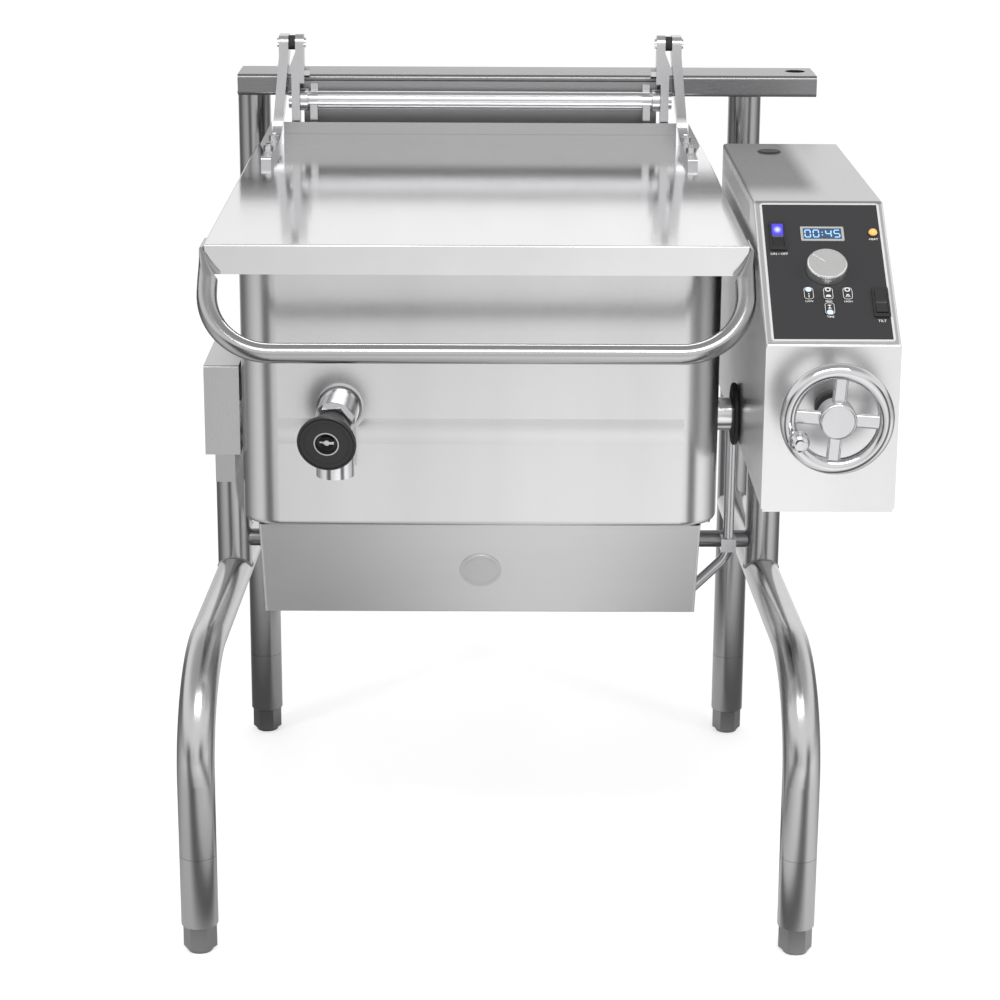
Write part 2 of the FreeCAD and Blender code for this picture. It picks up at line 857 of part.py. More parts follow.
def turn_to_tilt(shape, x0):
    """A shape drawn flat, turned so that its axis lies on the tilt axis."""
    spin = FreeCAD.Placement(FreeCAD.Matrix(0, 0, 1, x0, 1, 0, 0, tilt_y,
                                            0, 1, 0, tilt_z, 0, 0, 0, 1))
    moved = shape.copy()
    moved.Placement = spin.multiply(moved.Placement)
    return moved


def tooth(angle, lean, root_r):
    """One leaning tooth of the worm wheel, from below the root to the tip."""
    tip_r = wheel_r + tooth_tip * module
    low = root_r - 1.0
    spread = math.tan(math.radians(pressure_angle))
    wires = []
    for z, shift in ((0.0, lean), (wheel_w, -lean)):
        points = []
        for r, side in ((low, -1), (tip_r, -1), (tip_r, 1), (low, 1)):
            half = tooth_half - (r - wheel_r) * spread
            a = math.radians(angle + shift) + side * half / r
            points.append(V(r * math.cos(a), r * math.sin(a), z))
        wires.append(Part.makePolygon(points + points[:1]))
    return Part.makeLoft(wires, True, True)


def worm():
    """The worm, its core and its shaft."""
    pitch = math.pi * module
    root_r = worm_r - tooth_root * module
    tip_r = worm_r + tooth_tip * module
    length = worm_turns * pitch
    helix = Part.makeHelix(pitch, length, worm_r)
    spread = math.tan(math.radians(pressure_angle))
    low = root_r - 0.6
    h0 = tooth_half - (low - worm_r) * spread
    h1 = tooth_half - (tip_r - worm_r) * spread
    points = [V(low, 0, -h0), V(tip_r, 0, -h1), V(tip_r, 0, h1), V(low, 0, h0)]
    thread = Part.Wire(helix).makePipeShell([Part.makePolygon(points + points[:1])], True, True)
    start = tilt_y - pitch / 4 - pitch * (worm_turns // 2)
    core = Part.makeCylinder(root_r, length + 2 * worm_end, V(0, 0, -worm_end))
    body = core.fuse(thread)
    body.rotate(V(0, 0, 0), V(1, 0, 0), -90.0)
    body.translate(V(worm_x, start, worm_z))
    front = (worm_x, worm_front_y, worm_z)
    shaft_bar = cyl(worm_shaft_r, front, (0, 1, 0), worm_rear_y - worm_front_y)
    return body.fuse(shaft_bar)


def handwheel():
    """The handwheel: rim, hub, spokes and the pin of its grip."""
    centre = V(worm_x, wheel_y, worm_z)
    wheel = Part.makeTorus(rim_r, rim_tube_r, centre, V(0, 1, 0))
    hub = cyl(hand_hub_r, (worm_x, hand_hub_y0, worm_z), (0, 1, 0), hand_hub_y1 - hand_hub_y0)
    face = [e for e in hub.Edges if e.BoundBox.YMax < hand_hub_y0 + 0.1 and e.BoundBox.YLength < 0.1]
    hub = hub.makeFillet(hub_edge_r, face)
    for k in range(spoke_count):
        spoke = box(-spoke_w / 2, spoke_w / 2, -spoke_t / 2, spoke_t / 2,
                    hand_hub_r - spoke_overlap, rim_r - spoke_overlap)
        spoke = spoke.makeFillet(spoke_edge_r, [e for e in spoke.Edges if e.BoundBox.ZLength > 5])
        spoke.rotate(V(0, 0, 0), V(0, 1, 0), 360.0 / spoke_count * k + spoke_turn)
        spoke.translate(centre)
        hub = hub.fuse(spoke)
    wheel = wheel.fuse(hub)
    socket = cyl(worm_shaft_r, (worm_x, worm_front_y, worm_z), (0, 1, 0), wheel_socket)
    return wheel.cut(socket).fuse(grip_pin())


def grip_centre():
    """Where the grip's axis meets the wheel, across and up."""
    a = math.radians(grip_angle)
    return worm_x + grip_ring_r * math.cos(a), worm_z + grip_ring_r * math.sin(a)


def grip_pin():
    """The pin on which the grip spins, with its boss and cap."""
    x, z = grip_centre()
    y0 = grip_front_y + grip_cap_t
    pin = cyl(grip_pin_r, (x, y0, z), (0, 1, 0), wheel_y - rim_tube_r + pin_seat - y0)
    boss = cyl(pin_boss_r, (x, wheel_y - rim_tube_r + 0.5, z), (0, 1, 0), pin_boss_h)
    cap = cyl(grip_cap_r, (x, grip_front_y, z), (0, 1, 0), grip_cap_t + 0.4)
    ring = Part.makeTorus(rim_r, rim_tube_r, V(worm_x, wheel_y, worm_z), V(0, 1, 0))
    return pin.fuse(boss).fuse(cap).cut(ring)


def grip():
    """The turned grip."""
    x, z = grip_centre()
    y1 = wheel_y - rim_tube_r
    bore_r = grip_pin_r + grip_play
    y0 = y1 - grip_len
    points = [(bore_r, y1), (grip_neck_r, y1), (grip_collar_r, y1 - grip_collar_at),
              (grip_waist_r, y1 - grip_waist_at), (grip_r, y1 - grip_wide_at),
              (grip_slim_r, y1 - grip_slim_at), (grip_end_r, y0 + grip_end_round),
              (grip_tip_r, y0), (bore_r, y0)]
    wire = Part.makePolygon([V(r, y, 0) for r, y in points + points[:1]])
    body = Part.Face(wire).revolve(V(0, 0, 0), V(0, 1, 0), 360)
    body.translate(V(x, 0, z))
    return body


def jacket():
    """The outer sheet of the pan with its rolled bead."""
    outer = rounded(pan_x0, pan_x1, pan_y0, pan_y1, pan_z0, rim_z0, corner_r)
    low = [e for e in outer.Edges if e.BoundBox.ZMax < pan_z0 + 0.1]
    outer = outer.makeFillet(pan_bend, low)
    inner = rounded(pan_x0 + jacket_t, pan_x1 - jacket_t, pan_y0 + jacket_t, pan_y1 - jacket_t,
                    pan_z0 + jacket_t, rim_z0 + 1, corner_r - jacket_t)
    low = [e for e in inner.Edges if e.BoundBox.ZMax < pan_z0 + jacket_t + 0.1]
    inner = inner.makeFillet(pan_bend - jacket_t, low)
    half = bead_h / 2
    r = (half * half + bead_d * bead_d) / (2 * bead_d)
    bead = cyl(r, (bead_x0, pan_y0 - bead_d + r, bead_z), (1, 0, 0), bead_x1 - bead_x0)
    bead = bead.common(box(bead_x0, bead_x1, pan_y0 - bead_d - 1, pan_y0 + 0.5,
                           bead_z - half, bead_z + half))
    bead = bead.cut(cyl(valve_r + bead_gap, (valve_base[0], pan_y0 - 5, valve_base[2]), (0, 1, 0), 5))
    bead = bead.cut(box(spout_x - spout_r - 4, spout_x + spout_r + 4, pan_y0 - 5, pan_y0,
                        bead_z - half, bead_z + half))
    return outer.fuse(bead).cut(inner)


def vessel():
    """The cooking vessel and its rim."""
    rim = rounded(pan_x0, pan_x1, pan_y0, pan_y1, rim_z0, rim_z1, corner_r)
    top = [e for e in rim.Edges if e.BoundBox.ZMin > rim_z1 - 0.1]
    rim = rim.makeFillet(rim_edge_r, top)
    i = vessel_inset
    z0 = vessel_floor_z - vessel_t
    tub = rounded(pan_x0 + i, pan_x1 - i, pan_y0 + i, pan_y1 - i, z0, rim_z1, corner_r - i)
    i = vessel_inset + vessel_t
    space = rounded(pan_x0 + i, pan_x1 - i, pan_y0 + i, pan_y1 - i,
                    vessel_floor_z, rim_z1 + 2, corner_r - i)
    low = [e for e in space.Edges if e.BoundBox.ZMax < vessel_floor_z + 0.1]
    return rim.fuse(tub).cut(space.makeFillet(vessel_bend, low))


def clad_plate():
    """The thick plate under the vessel's floor, which spreads the heat."""
    i = vessel_inset + clad_inset
    z1 = vessel_floor_z - vessel_t
    return rounded(pan_x0 + i, pan_x1 - i, pan_y0 + i, pan_y1 - i, z1 - clad_t, z1, corner_r - i)


def firebox():
    """The tapered sheet box below the pan, with its round cover."""
    def section(t):
        return [(fire_top_y0 + t, pan_z0 + (1 if t else 0)), (fire_bot_y0 + t, fire_z0 + t),
                (fire_y1 - t, fire_z0 + t), (fire_y1 - t, pan_z0 + (1 if t else 0))]
    outer = plate_x(section(0), fire_x0, fire_x1)
    bends = [e for e in outer.Edges if e.BoundBox.ZMin < pan_z0 - 1 and e.BoundBox.ZMax < pan_z0 + 1
             and (e.BoundBox.XLength > 5 or e.BoundBox.ZLength > 5)]
    outer = outer.makeFillet(fire_bend, bends)
    inner = plate_x(section(jacket_t), fire_x0 + jacket_t, fire_x1 - jacket_t)
    return outer.cut(inner).fuse(port_cover())


def port_cover():
    """The round cover on the firebox's sloping front."""
    run = fire_bot_y0 - fire_top_y0
    drop = pan_z0 - fire_z0
    length = math.hypot(run, drop)
    out = V(0, -drop / length, -run / length)
    share = (pan_z0 - port_z) / drop
    spot = V(port_x, fire_top_y0 + share * run, port_z)
    disc = Part.makeCylinder(port_r, port_t, spot, out)
    disc = disc.makeChamfer(port_edge, [disc.Edges[0]])
    start = spot + out * (port_t - port_groove_depth)
    outer_r = port_r - port_groove_r
    groove = Part.makeCylinder(outer_r, 1, start, out)
    groove = groove.cut(Part.makeCylinder(outer_r - port_groove_w, 1, start, out))
    return disc.cut(groove)


def fire_tabs():
    """The nuts that hold the firebox's sides."""
    tabs = []
    for x in (fire_x0 - tab_nut_out, fire_x1 + tab_nut_out):
        for y in (tab_nut_front_y, tab_nut_rear_y):
            tabs.append(hexagon(tab_nut_flats, (x, y, pan_z0 - tab_nut_h), (0, 0, 1), tab_nut_h))
    return tabs


def shaft(x0, x1):
    """A hollow length of shaft on the tilt axis."""
    return cyl(shaft_r, (x0, tilt_y, tilt_z), (1, 0, 0), x1 - x0).cut(
        cyl(shaft_bore_r, (x0, tilt_y, tilt_z), (1, 0, 0), x1 - x0))


def shaft_right():
    """The right trunnion shaft and its flange, as far as the worm wheel."""
    flange = cyl(flange_r, (pan_x1, tilt_y, tilt_z), (1, 0, 0), flange_t)
    edge = [e for e in flange.Edges if e.BoundBox.XMin > pan_x1 + 1 and e.BoundBox.XLength < 0.1]
    return shaft(pan_x1, worm_x + hub_w / 2 + 3).fuse(flange.makeChamfer(1.5, edge).cut(
        cyl(shaft_bore_r, (pan_x1, tilt_y, tilt_z), (1, 0, 0), flange_t)))


def shaft_left():
    """The left trunnion shaft and its flange."""
    flange = cyl(flange_r, (pan_x0 - flange_t, tilt_y, tilt_z), (1, 0, 0), flange_t)
    return shaft(hous_x0 + shaft_end_gap, pan_x0).fuse(flange.cut(
        cyl(shaft_bore_r, (pan_x0 - flange_t, tilt_y, tilt_z), (1, 0, 0), flange_t)))


def seal_ring():
    """The rubber ring round the right shaft."""
    ring = cyl(ring_r, (ring_x0, tilt_y, tilt_z), (1, 0, 0), ring_x1 - ring_x0)
    ring = ring.makeFillet(ring_edge_r, [e for e in ring.Edges if e.BoundBox.XLength < 0.1])
    return ring.cut(cyl(shaft_r, (ring_x0 - 1, tilt_y, tilt_z), (1, 0, 0), 10))


def lid_shell():
    """The folded sheet of the lid."""
    outer = box(lid_x0, lid_x1, 0, lid_y1, lid_z0, lid_z1)
    edges = [e for e in outer.Edges if e.BoundBox.ZMin > lid_z1 - 0.1 or e.BoundBox.ZLength > 5]
    outer = outer.makeFillet(lid_edge_r, edges)
    inner = box(lid_x0 + lid_t, lid_x1 - lid_t, lid_t, lid_y1 - lid_t, lid_z0 - 1, lid_z1 - lid_t)
    return outer.cut(inner)


def stiffener():
    """The stepped bar along the rear of the lid."""
    half = lid_arm_foot_mid - lid_arm_t / 2 - stiff_end_gap
    mid_y = lid_y1 - stiff_t
    front_y = mid_y - stiff_t
    points = [(front_y, lid_z1), (front_y, stiff_step_z), (mid_y, stiff_step_z), (mid_y, stiff_z1),
              (lid_y1, stiff_z1), (lid_y1, lid_z1)]
    return plate_x(points, lid_mid_x - half, lid_mid_x + half)


def gussets():
    """The two small plates beyond the lid's arms."""
    out = []
    for s in (-1, 1):
        x0 = lid_mid_x + s * (lid_arm_foot_mid + lid_arm_t / 2 + gusset_gap)
        x1 = lid_mid_x + s * (lid_x1 - lid_mid_x - gusset_in)
        points = [(x0, lid_z1), (x1, lid_z1), (x1 - s * gusset_in, lid_z1 + gusset_low), (x0, stiff_z1)]
        out.append(plate_y(points, lid_y1 - gusset_t, lid_y1))
    return out


def lid_arm_head_mid():
    """How far the middle of an arm's head lies from the lid's middle."""
    return link_in + link_t + bush_len + pin_gap + lid_arm_t / 2


def lid_arm(s):
    """An arm from the lid's rear edge up to the hinge pin."""
    top = pin_z + lid_arm_over
    foot_top = lid_z1 + lid_arm_foot_h
    lean_z = pin_z - lid_arm_lean_end
    half = lid_arm_t / 2
    head = lid_arm_head_mid()
    front = [(lid_arm_foot_mid - half, lid_z1), (lid_arm_foot_mid + half, lid_z1),
             (lid_arm_foot_mid + half, foot_top), (head + half, lean_z), (head + half, top),
             (head - half, top), (head - half, lean_z), (lid_arm_foot_mid - half, foot_top)]
    front = [(lid_mid_x + s * x, z) for x, z in front]
    side = [(lid_arm_y0, top), (lid_arm_y1, top), (lid_arm_y1, lid_arm_heel_z), (lid_y1 + 1, lid_z1),
            (lid_arm_foot_y, lid_z1), (lid_arm_foot_y, foot_top), (lid_arm_y0, foot_top)]
    wide = (lid_mid_x - lid_x0) * s
    blank = plate_x(side, lid_mid_x, lid_mid_x + wide)
    bends = {(lid_arm_y0, top): lid_arm_round, (lid_arm_y1, top): lid_arm_round,
             (lid_arm_foot_y, foot_top): lid_arm_foot_h / 3, (lid_arm_y0, foot_top): lid_arm_bend,
             (lid_arm_y1, lid_arm_heel_z): lid_arm_bend}
    for (y, z), r in bends.items():
        blank = blank.makeFillet(r, [e for e in blank.Edges if lies_along_x(e, y, z)])
    arm = blank.common(plate_y(front, lid_arm_foot_y - 1, lid_arm_y1 + 1))
    return arm.cut(cyl(pin_r + fit_gap, (lid_mid_x, pin_y, pin_z), (s, 0, 0), abs(wide)))


def lies_along_x(edge, y, z):
    """True for an edge that runs along x at this y and z."""
    b = edge.BoundBox
    return b.XLength > 1 and abs(b.YMin - y) < 0.01 and abs(b.YMax - y) < 0.01 and abs(b.ZMin - z) < 0.01


def arm_bolts():
    """The bolts and washers on the feet of the arms."""
    bolts = []
    z0 = lid_z1 + lid_arm_foot_h
    for s in (-1, 1):
        x = lid_mid_x + s * lid_arm_foot_mid
        for y in lid_bolt_y:
            washer = cyl(washer_r, (x, y, z0), (0, 0, 1), washer_t)
            head = hexagon(bolt_flats, (x, y, z0 + washer_t), (0, 0, 1), bolt_head_h)
            end = cyl(bolt_r, (x, y, z0 + washer_t), (0, 0, 1), bolt_head_h + bolt_end)
            bolts.append(washer.fuse(head).fuse(end))
    return bolts


def grab_path():
    """The middle line of the lid's handle."""
    drop = V(0, grab_front_y - grab_top_y, grab_front_z - grab_top_z)
    start = V(grab_x0, grab_top_y, grab_top_z) + drop * grab_neck
    end = V(grab_x1, grab_top_y, grab_top_z) + drop * grab_neck
    return bent_path([tuple(start), (grab_x0, grab_front_y, grab_front_z),
                      (grab_x1, grab_front_y, grab_front_z), tuple(end)], grab_bend)


def flat_ring(centre, up, out, half_h, half_t):
    """The outline of the handle's flattened end."""
    high = up * (half_h - half_t)
    p = [centre + high + out * half_t, centre + high - out * half_t,
         centre - high - out * half_t, centre - high + out * half_t]
    return Part.Wire([Part.makeLine(p[3], p[0]), Part.Arc(p[0], centre + up * half_h, p[1]).toShape(),
                      Part.makeLine(p[1], p[2]), Part.Arc(p[2], centre - up * half_h, p[3]).toShape()])


def round_ring(centre, up, out, r):
    """The outline of the handle's round tube, in four arcs."""
    steep = math.radians(60.0)
    high = up * (r * math.sin(steep))
    wide = out * (r * math.cos(steep))
    p = [centre + high + wide, centre + high - wide, centre - high - wide, centre - high + wide]
    arcs = [Part.Arc(p[3], centre + out * r, p[0]), Part.Arc(p[0], centre + up * r, p[1]),
            Part.Arc(p[1], centre - out * r, p[2]), Part.Arc(p[2], centre - up * r, p[3])]
    return Part.Wire([arc.toShape() for arc in arcs])


def lid_handle():
    """The lid's handle: a bent tube with two flattened ends."""
    handle = sweep(grab_path(), grab_r)
    drop = V(0, grab_front_y - grab_top_y, grab_front_z - grab_top_z)
    up = V(0, drop.z, -drop.y).normalize() * -1.0
    for s, x, wall in ((-1, grab_x0, lid_x0), (1, grab_x1, lid_x1)):
        out = V(s, 0, 0)
        at = V(x, grab_top_y, grab_top_z) + drop * grab_neck
        mid = V(wall + s * tab_t / 2, tab_front_y, tab_z)
        flat = flat_ring(mid, V(0, 0, 1), out, tab_h / 2, tab_t / 2)
        neck = Part.makeLoft([round_ring(at, up, out, grab_r), flat], True, True)
        tab = Part.Face(flat).extrude(V(0, tab_back_y - tab_front_y, 0))
        end_y = tab_back_y - tab_h / 2
        x0 = wall - tab_cut
        shape = box(x0, wall + tab_cut, tab_front_y - 1, end_y, tab_z - tab_h / 2, tab_z + tab_h / 2)
        shape = shape.fuse(cyl(tab_h / 2, (x0, end_y, tab_z), (1, 0, 0), 2 * tab_cut))
        handle = handle.fuse(neck).fuse(tab.common(shape))
    return handle.removeSplitter()


def handle_rivets():
    """The rivets of the handle's flattened ends."""
    rivets = []
    for s, wall in ((-1, lid_x0), (1, lid_x1)):
        for y in (tab_back_y - rivet_front, tab_back_y - rivet_rear):
            head = cyl(rivet_r, (wall + s * tab_t, y, tab_z), (s, 0, 0), rivet_h)
            edge = [e for e in head.Edges if abs(e.BoundBox.XMax - (wall + s * (tab_t + rivet_h))) < 0.05
                    and e.BoundBox.XLength < 0.1]
            rivets.append(head.makeChamfer(rivet_edge, edge))
    return rivets


def hinge_post(s):
    """The upright plate of a hinge bracket with its foot on the pan."""
    x0 = lid_mid_x + s * post_in
    seat_z = pin_z - link_seat
    low_y = pan_y1 + (post_y1 - pan_y1) / 5
    points = [(post_y0, seat_z), (post_y1, seat_z), (post_y1, back_plate_z0), (low_y, strut_low_z),
              (low_y, post_low_z), (pan_y1, post_low_z), (pan_y1, post_step_z),
              (post_y0, post_step_z + link_r)]
    post = plate_x(points, x0, x0 + s * post_t)
    foot_x = x0 - s * post_foot_w
    foot = box(min(x0, foot_x), max(x0, foot_x), pan_y1, pan_y1 + post_foot_t, post_low_z, post_step_z)
    post = post.fuse(foot)
    return post.cut(cyl(spring_tube_r, (x0 - s, spring_tube_y, spring_tube_z), (s, 0, 0), post_t + 2))


def hinge_link(s):
    """The upper plate of a hinge bracket, which holds the pin."""
    seat_z = pin_z - link_seat
    link_out = link_in + link_t
    front = [(link_in, seat_z - tongue_len), (post_in, seat_z - tongue_len), (post_in, seat_z),
             (link_foot_out, seat_z), (link_foot_out, seat_z + link_slope_z0),
             (link_out, seat_z + link_slope_z1), (link_out, pin_z + link_r), (link_in, pin_z + link_r)]
    front = [(lid_mid_x + s * x, z) for x, z in front]
    blank = plate_y(front, pin_y - link_r, pin_y + link_r)
    x0 = lid_mid_x + s * link_in
    wide = link_foot_out - link_in
    side = cyl(link_r, (x0, pin_y, pin_z), (s, 0, 0), wide)
    side = side.fuse(box(min(x0, x0 + s * wide), max(x0, x0 + s * wide), pin_y - link_r, pin_y + link_r,
                         seat_z - tongue_len, pin_z))
    return blank.common(side).cut(cyl(pin_r, (x0 - s, pin_y, pin_z), (s, 0, 0), wide))


def hinge_pin(s):
    """A hinge pin with its two heads."""
    x0 = lid_mid_x + s * (link_in - pin_head_t)
    arm_out = lid_arm_head_mid() + lid_arm_t / 2
    length = arm_out + pin_gap + pin_head_t - link_in + pin_head_t
    pin = cyl(pin_r, (x0, pin_y, pin_z), (s, 0, 0), length)
    head = cyl(pin_head_r, (x0, pin_y, pin_z), (s, 0, 0), pin_head_t)
    tail = cyl(pin_head_r, (lid_mid_x + s * (arm_out + pin_gap), pin_y, pin_z), (s, 0, 0), pin_head_t)
    return pin.fuse(head).fuse(tail)


def hinge_bush(s):
    """The rubber bush between a bracket and its arm."""
    start = (lid_mid_x + s * (link_in + link_t), pin_y, pin_z)
    return cyl(pin_r + bush_wall, start, (s, 0, 0), bush_len).cut(cyl(pin_r, start, (s, 0, 0), bush_len))


def bracket_nuts():
    """The nuts of the hinge brackets."""
    nuts = []
    foot_y = pan_y1 + post_foot_t
    step = (post_step_z - post_low_z) / 4
    for s in (-1, 1):
        x = lid_mid_x + s * link_in
        z = pin_z - link_seat - tongue_nut_drop
        nuts.append(hexagon(bolt_flats, (x, pin_y, z), (-s, 0, 0), nut_h))
        x = lid_mid_x + s * (post_in - post_foot_w / 2)
        for z in (post_low_z + step, post_step_z - step):
            nuts.append(hexagon(bolt_flats - foot_nut_less, (x, foot_y, z), (0, 1, 0), post_foot_t))
    return nuts


def spring_tube():
    """The fluted tube between the brackets."""
    x0 = lid_mid_x - spring_end
    tube = cyl(spring_tube_r, (x0, spring_tube_y, spring_tube_z), (1, 0, 0), 2 * spring_end)
    grooves = []
    span = strut_at - strut_t / 2 - 1
    ring = spring_tube_r + flute_r / 2 - 0.2
    for k in range(flute_count):
        a = 2 * math.pi * k / flute_count
        start = (lid_mid_x - span, spring_tube_y + ring * math.cos(a), spring_tube_z + ring * math.sin(a))
        grooves.append(cyl(flute_r, start, (1, 0, 0), 2 * span))
    bore = cyl(spring_tube_bore, (x0 - 1, spring_tube_y, spring_tube_z), (1, 0, 0), 2 * spring_end + 2)
    return tube.cut(Part.makeCompound(grooves)).cut(bore)


def collars():
    """The two clamp collars on the fluted tube."""
    out = []
    for s in (-1, 1):
        start = (lid_mid_x + s * (collar_out - collar_w), spring_tube_y, spring_tube_z)
        ring = cyl(collar_r, start, (s, 0, 0), collar_w)
        ring = ring.makeChamfer(1.0, [e for e in ring.Edges if e.BoundBox.XLength < 0.1])
        out.append(ring.cut(cyl(spring_tube_r, start, (s, 0, 0), collar_w)))
    return out


def hinge_strut(s):
    """The strut behind a bracket, up to the back plate."""
    x0 = lid_mid_x + s * strut_at
    mid_y = back_plate_y - strut_w
    step = post_step_z + link_r
    points = [(pan_y1, strut_low_z), (pan_y1, post_step_z), (spring_tube_y - strut_w, step),
              (spring_tube_y - strut_w, spring_tube_z), (mid_y, spring_tube_z + spring_tube_r),
              (mid_y, back_plate_z1 - 2), (back_plate_y, back_plate_z1 - 2), (back_plate_y, back_plate_z0)]
    strut = plate_x(points, x0 - strut_t / 2, x0 + strut_t / 2)
    start = (x0 - strut_t, spring_tube_y, spring_tube_z)
    return strut.cut(cyl(spring_tube_r, start, (1, 0, 0), 2 * strut_t))


def back_plate():
    """The plate across the rear of the hinge."""
    return box(lid_mid_x - back_plate_half, lid_mid_x + back_plate_half, back_plate_y,
               back_plate_y + back_plate_t, back_plate_z0, back_plate_z1)


def valve_axis():
    """The way the valve points."""
    return V(*valve_dir).normalize()


def on_valve(s):
    """A place on the valve's axis."""
    return V(*valve_base) + valve_axis() * s


def valve_body():
    """The valve's body with its ring on the wall and its outlet."""
    d = valve_axis()
    pipe = Part.makeCylinder(valve_r, valve_len + 4, on_valve(-4), d)
    wall = (valve_base[0], pan_y0 - valve_ring_t, valve_base[2])
    ring = cyl(valve_r + valve_ring, wall, (0, 1, 0), valve_ring_t)
    height = valve_base[2] - stem_r - spout_z0
    spout = cyl(spout_r, (spout_x, spout_y, spout_z0), (0, 0, 1), height - 3)
    bore = cyl(spout_bore_r, (spout_x, spout_y, spout_z0), (0, 0, 1), spout_depth)
    scoop = Part.makeCylinder(valve_r + scoop_gap, valve_knob_len, on_valve(valve_len), d)
    seat = Part.makeCylinder(stem_r + pin_gap, 2 * stem_in, on_valve(valve_len - stem_in - 1), d)
    behind = box(pan_x0, pan_x1, pan_y0, pan_y1, pan_z0, rim_z0)
    return pipe.fuse(ring).fuse(spout).cut(bore).cut(scoop).cut(seat).cut(behind)


def valve_bonnet():
    """The hexagon bonnet that holds the stem."""
    nut = hexagon(bonnet_flats, tuple(on_valve(valve_len)), tuple(valve_axis()), bonnet_len)
    bore = Part.makeCylinder(stem_r + fit_gap, 2 * bonnet_len, on_valve(valve_len - 1), valve_axis())
    return nut.cut(bore)


def valve_knob():
    """The moulded knob of the valve."""
    top = valve_knob_len
    floor = top - hub_hole_depth
    points = [(stem_r, 0), (valve_knob_r0, 0), (valve_knob_r - 1, top - valve_knob_rim),
              (valve_knob_r, top - valve_knob_rim + 1), (valve_knob_r, top - 1), (valve_knob_r - 1, top),
              (groove_r + groove_w, top), (groove_r + groove_w, top - groove_w), (groove_r, top - groove_w),
              (groove_r, top), (hub_hole_r, top), (hub_hole_r, floor), (stem_r, floor)]
    wire = Part.makePolygon([V(r, 0, h) for r, h in points + points[:1]])
    knob = Part.Face(wire).revolve(V(0, 0, 0), V(0, 0, 1), 360)
    start = on_valve(valve_len + bonnet_len + knob_space)
    knob.Placement = FreeCAD.Placement(start, FreeCAD.Rotation(V(0, 0, 1), valve_axis()))
    return knob


def valve_stem():
    """The valve's stem and the slotted screw in its end."""
    floor = valve_len + bonnet_len + knob_space + valve_knob_len - hub_hole_depth
    start = valve_len - stem_in
    stem = Part.makeCylinder(stem_r, floor - start, on_valve(start), valve_axis())
    screw = Part.makeCylinder(screw_r, screw_t, V(0, 0, 0))
    slot = box(-screw_r, screw_r, -screw_slot / 2, screw_slot / 2, screw_t / 2, screw_t + 1)
    screw = screw.cut(slot)
    screw.Placement = FreeCAD.Placement(on_valve(floor), FreeCAD.Rotation(V(0, 0, 1), valve_axis()))
    return stem.fuse(screw)


def parts():
    """Every node of the skillet by its name."""
    made = {}
    for side, flip in (("right", False), ("left", True)):
        pieces = {"front_leg": front_leg(), "main_post": main_post(),
                  "rear_post": rear_post(), "trunnion_arm": trunnion_arm()}
        for name, shape in pieces.items():
            made[name + "_" + side] = mirrored(shape) if flip else shape
        s = -1 if flip else 1
        made["foot_front_" + side] = foot(s * foot_x_front, front_leg_y, front_seam_z)
        made["foot_rear_" + side] = foot(s * foot_x_rear, rear_post_y, rear_seam_z)
        made["lid_arm_" + side] = lid_arm(s)
        made["hinge_bracket_" + side] = Part.makeCompound([hinge_post(s), hinge_link(s), hinge_strut(s)])
    made["cross_brace"] = cross_brace()
    made["crossbar"] = crossbar()
    made["console_shell"] = console_shell()
    made["console_floor"] = console_floor()
    made["console_back"] = console_back()
    made["hole_plug"] = hole_plug()
    made["overlay"] = overlay()
    made["switch_bezels"] = Part.makeCompound([bezel(switch_u, switch_v), bezel(tilt_u, tilt_v)])
    made["power_rocker"] = rocker(switch_u, switch_v, rocker_lean)
    made["tilt_rocker"] = rocker(tilt_u, tilt_v, 0.0)
    made["display"] = display()
    made["lamp"] = lamp()
    made["mode_pads"] = mode_pads()
    made["temp_knob"] = temp_knob()
    made["knob_bush"] = knob_bush()
    made["trunnion_housing"] = housing()
    made["bearing_left"] = bearing(hous_x0 + bearing_gap_left, hous_x1 - bearing_gap_right, hous_z0 + sheet_t)
    made["bearing_right"] = bearing(bearing_right_x0, bearing_right_x0 + block_w, con_z0)
    made["worm_stand"] = worm_stand()
    made["front_bush"] = front_bush()
    made["conduit"] = conduit()
    made["worm_wheel"] = worm_wheel()
    made["worm"] = worm()
    made["handwheel"] = handwheel()
    made["grip"] = grip()
    made["pan_jacket"] = jacket()
    made["pan_vessel"] = vessel()
    made["clad_plate"] = clad_plate()
    made["firebox"] = firebox()
    made["pan_nuts"] = Part.makeCompound(fire_tabs() + bracket_nuts())
    made["shaft_right"] = shaft_right()
    made["shaft_left"] = shaft_left()
    made["seal_ring"] = seal_ring()
    made["lid_shell"] = lid_shell()
    made["lid_stiffener"] = Part.makeCompound([stiffener()] + gussets())
    made["lid_fasteners"] = Part.makeCompound(arm_bolts() + handle_rivets())
    made["lid_handle"] = lid_handle()
    made["hinge_pins"] = Part.makeCompound([hinge_pin(-1), hinge_pin(1)])
    made["hinge_bushes"] = Part.makeCompound([hinge_bush(-1), hinge_bush(1)])
    made["spring_tube"] = Part.makeCompound([spring_tube(), back_plate()] + collars())
    made["valve_body"] = valve_body()
    made["valve_bonnet"] = valve_bonnet()
    made["valve_knob"] = valve_knob()
    made["valve_stem"] = valve_stem()
    return made


origin = V((bar_x1 - foot_x_front - tube_r) / 2, (bar_y1 + grip_front_y) / 2, 0)
for name, shape in parts().items():
    shape.translate(origin * -1.0)
    shape.exportStep(os.path.join("parts", name + ".step"))
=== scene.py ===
import bmesh
import bpy
import math
from mathutils import Matrix, Vector


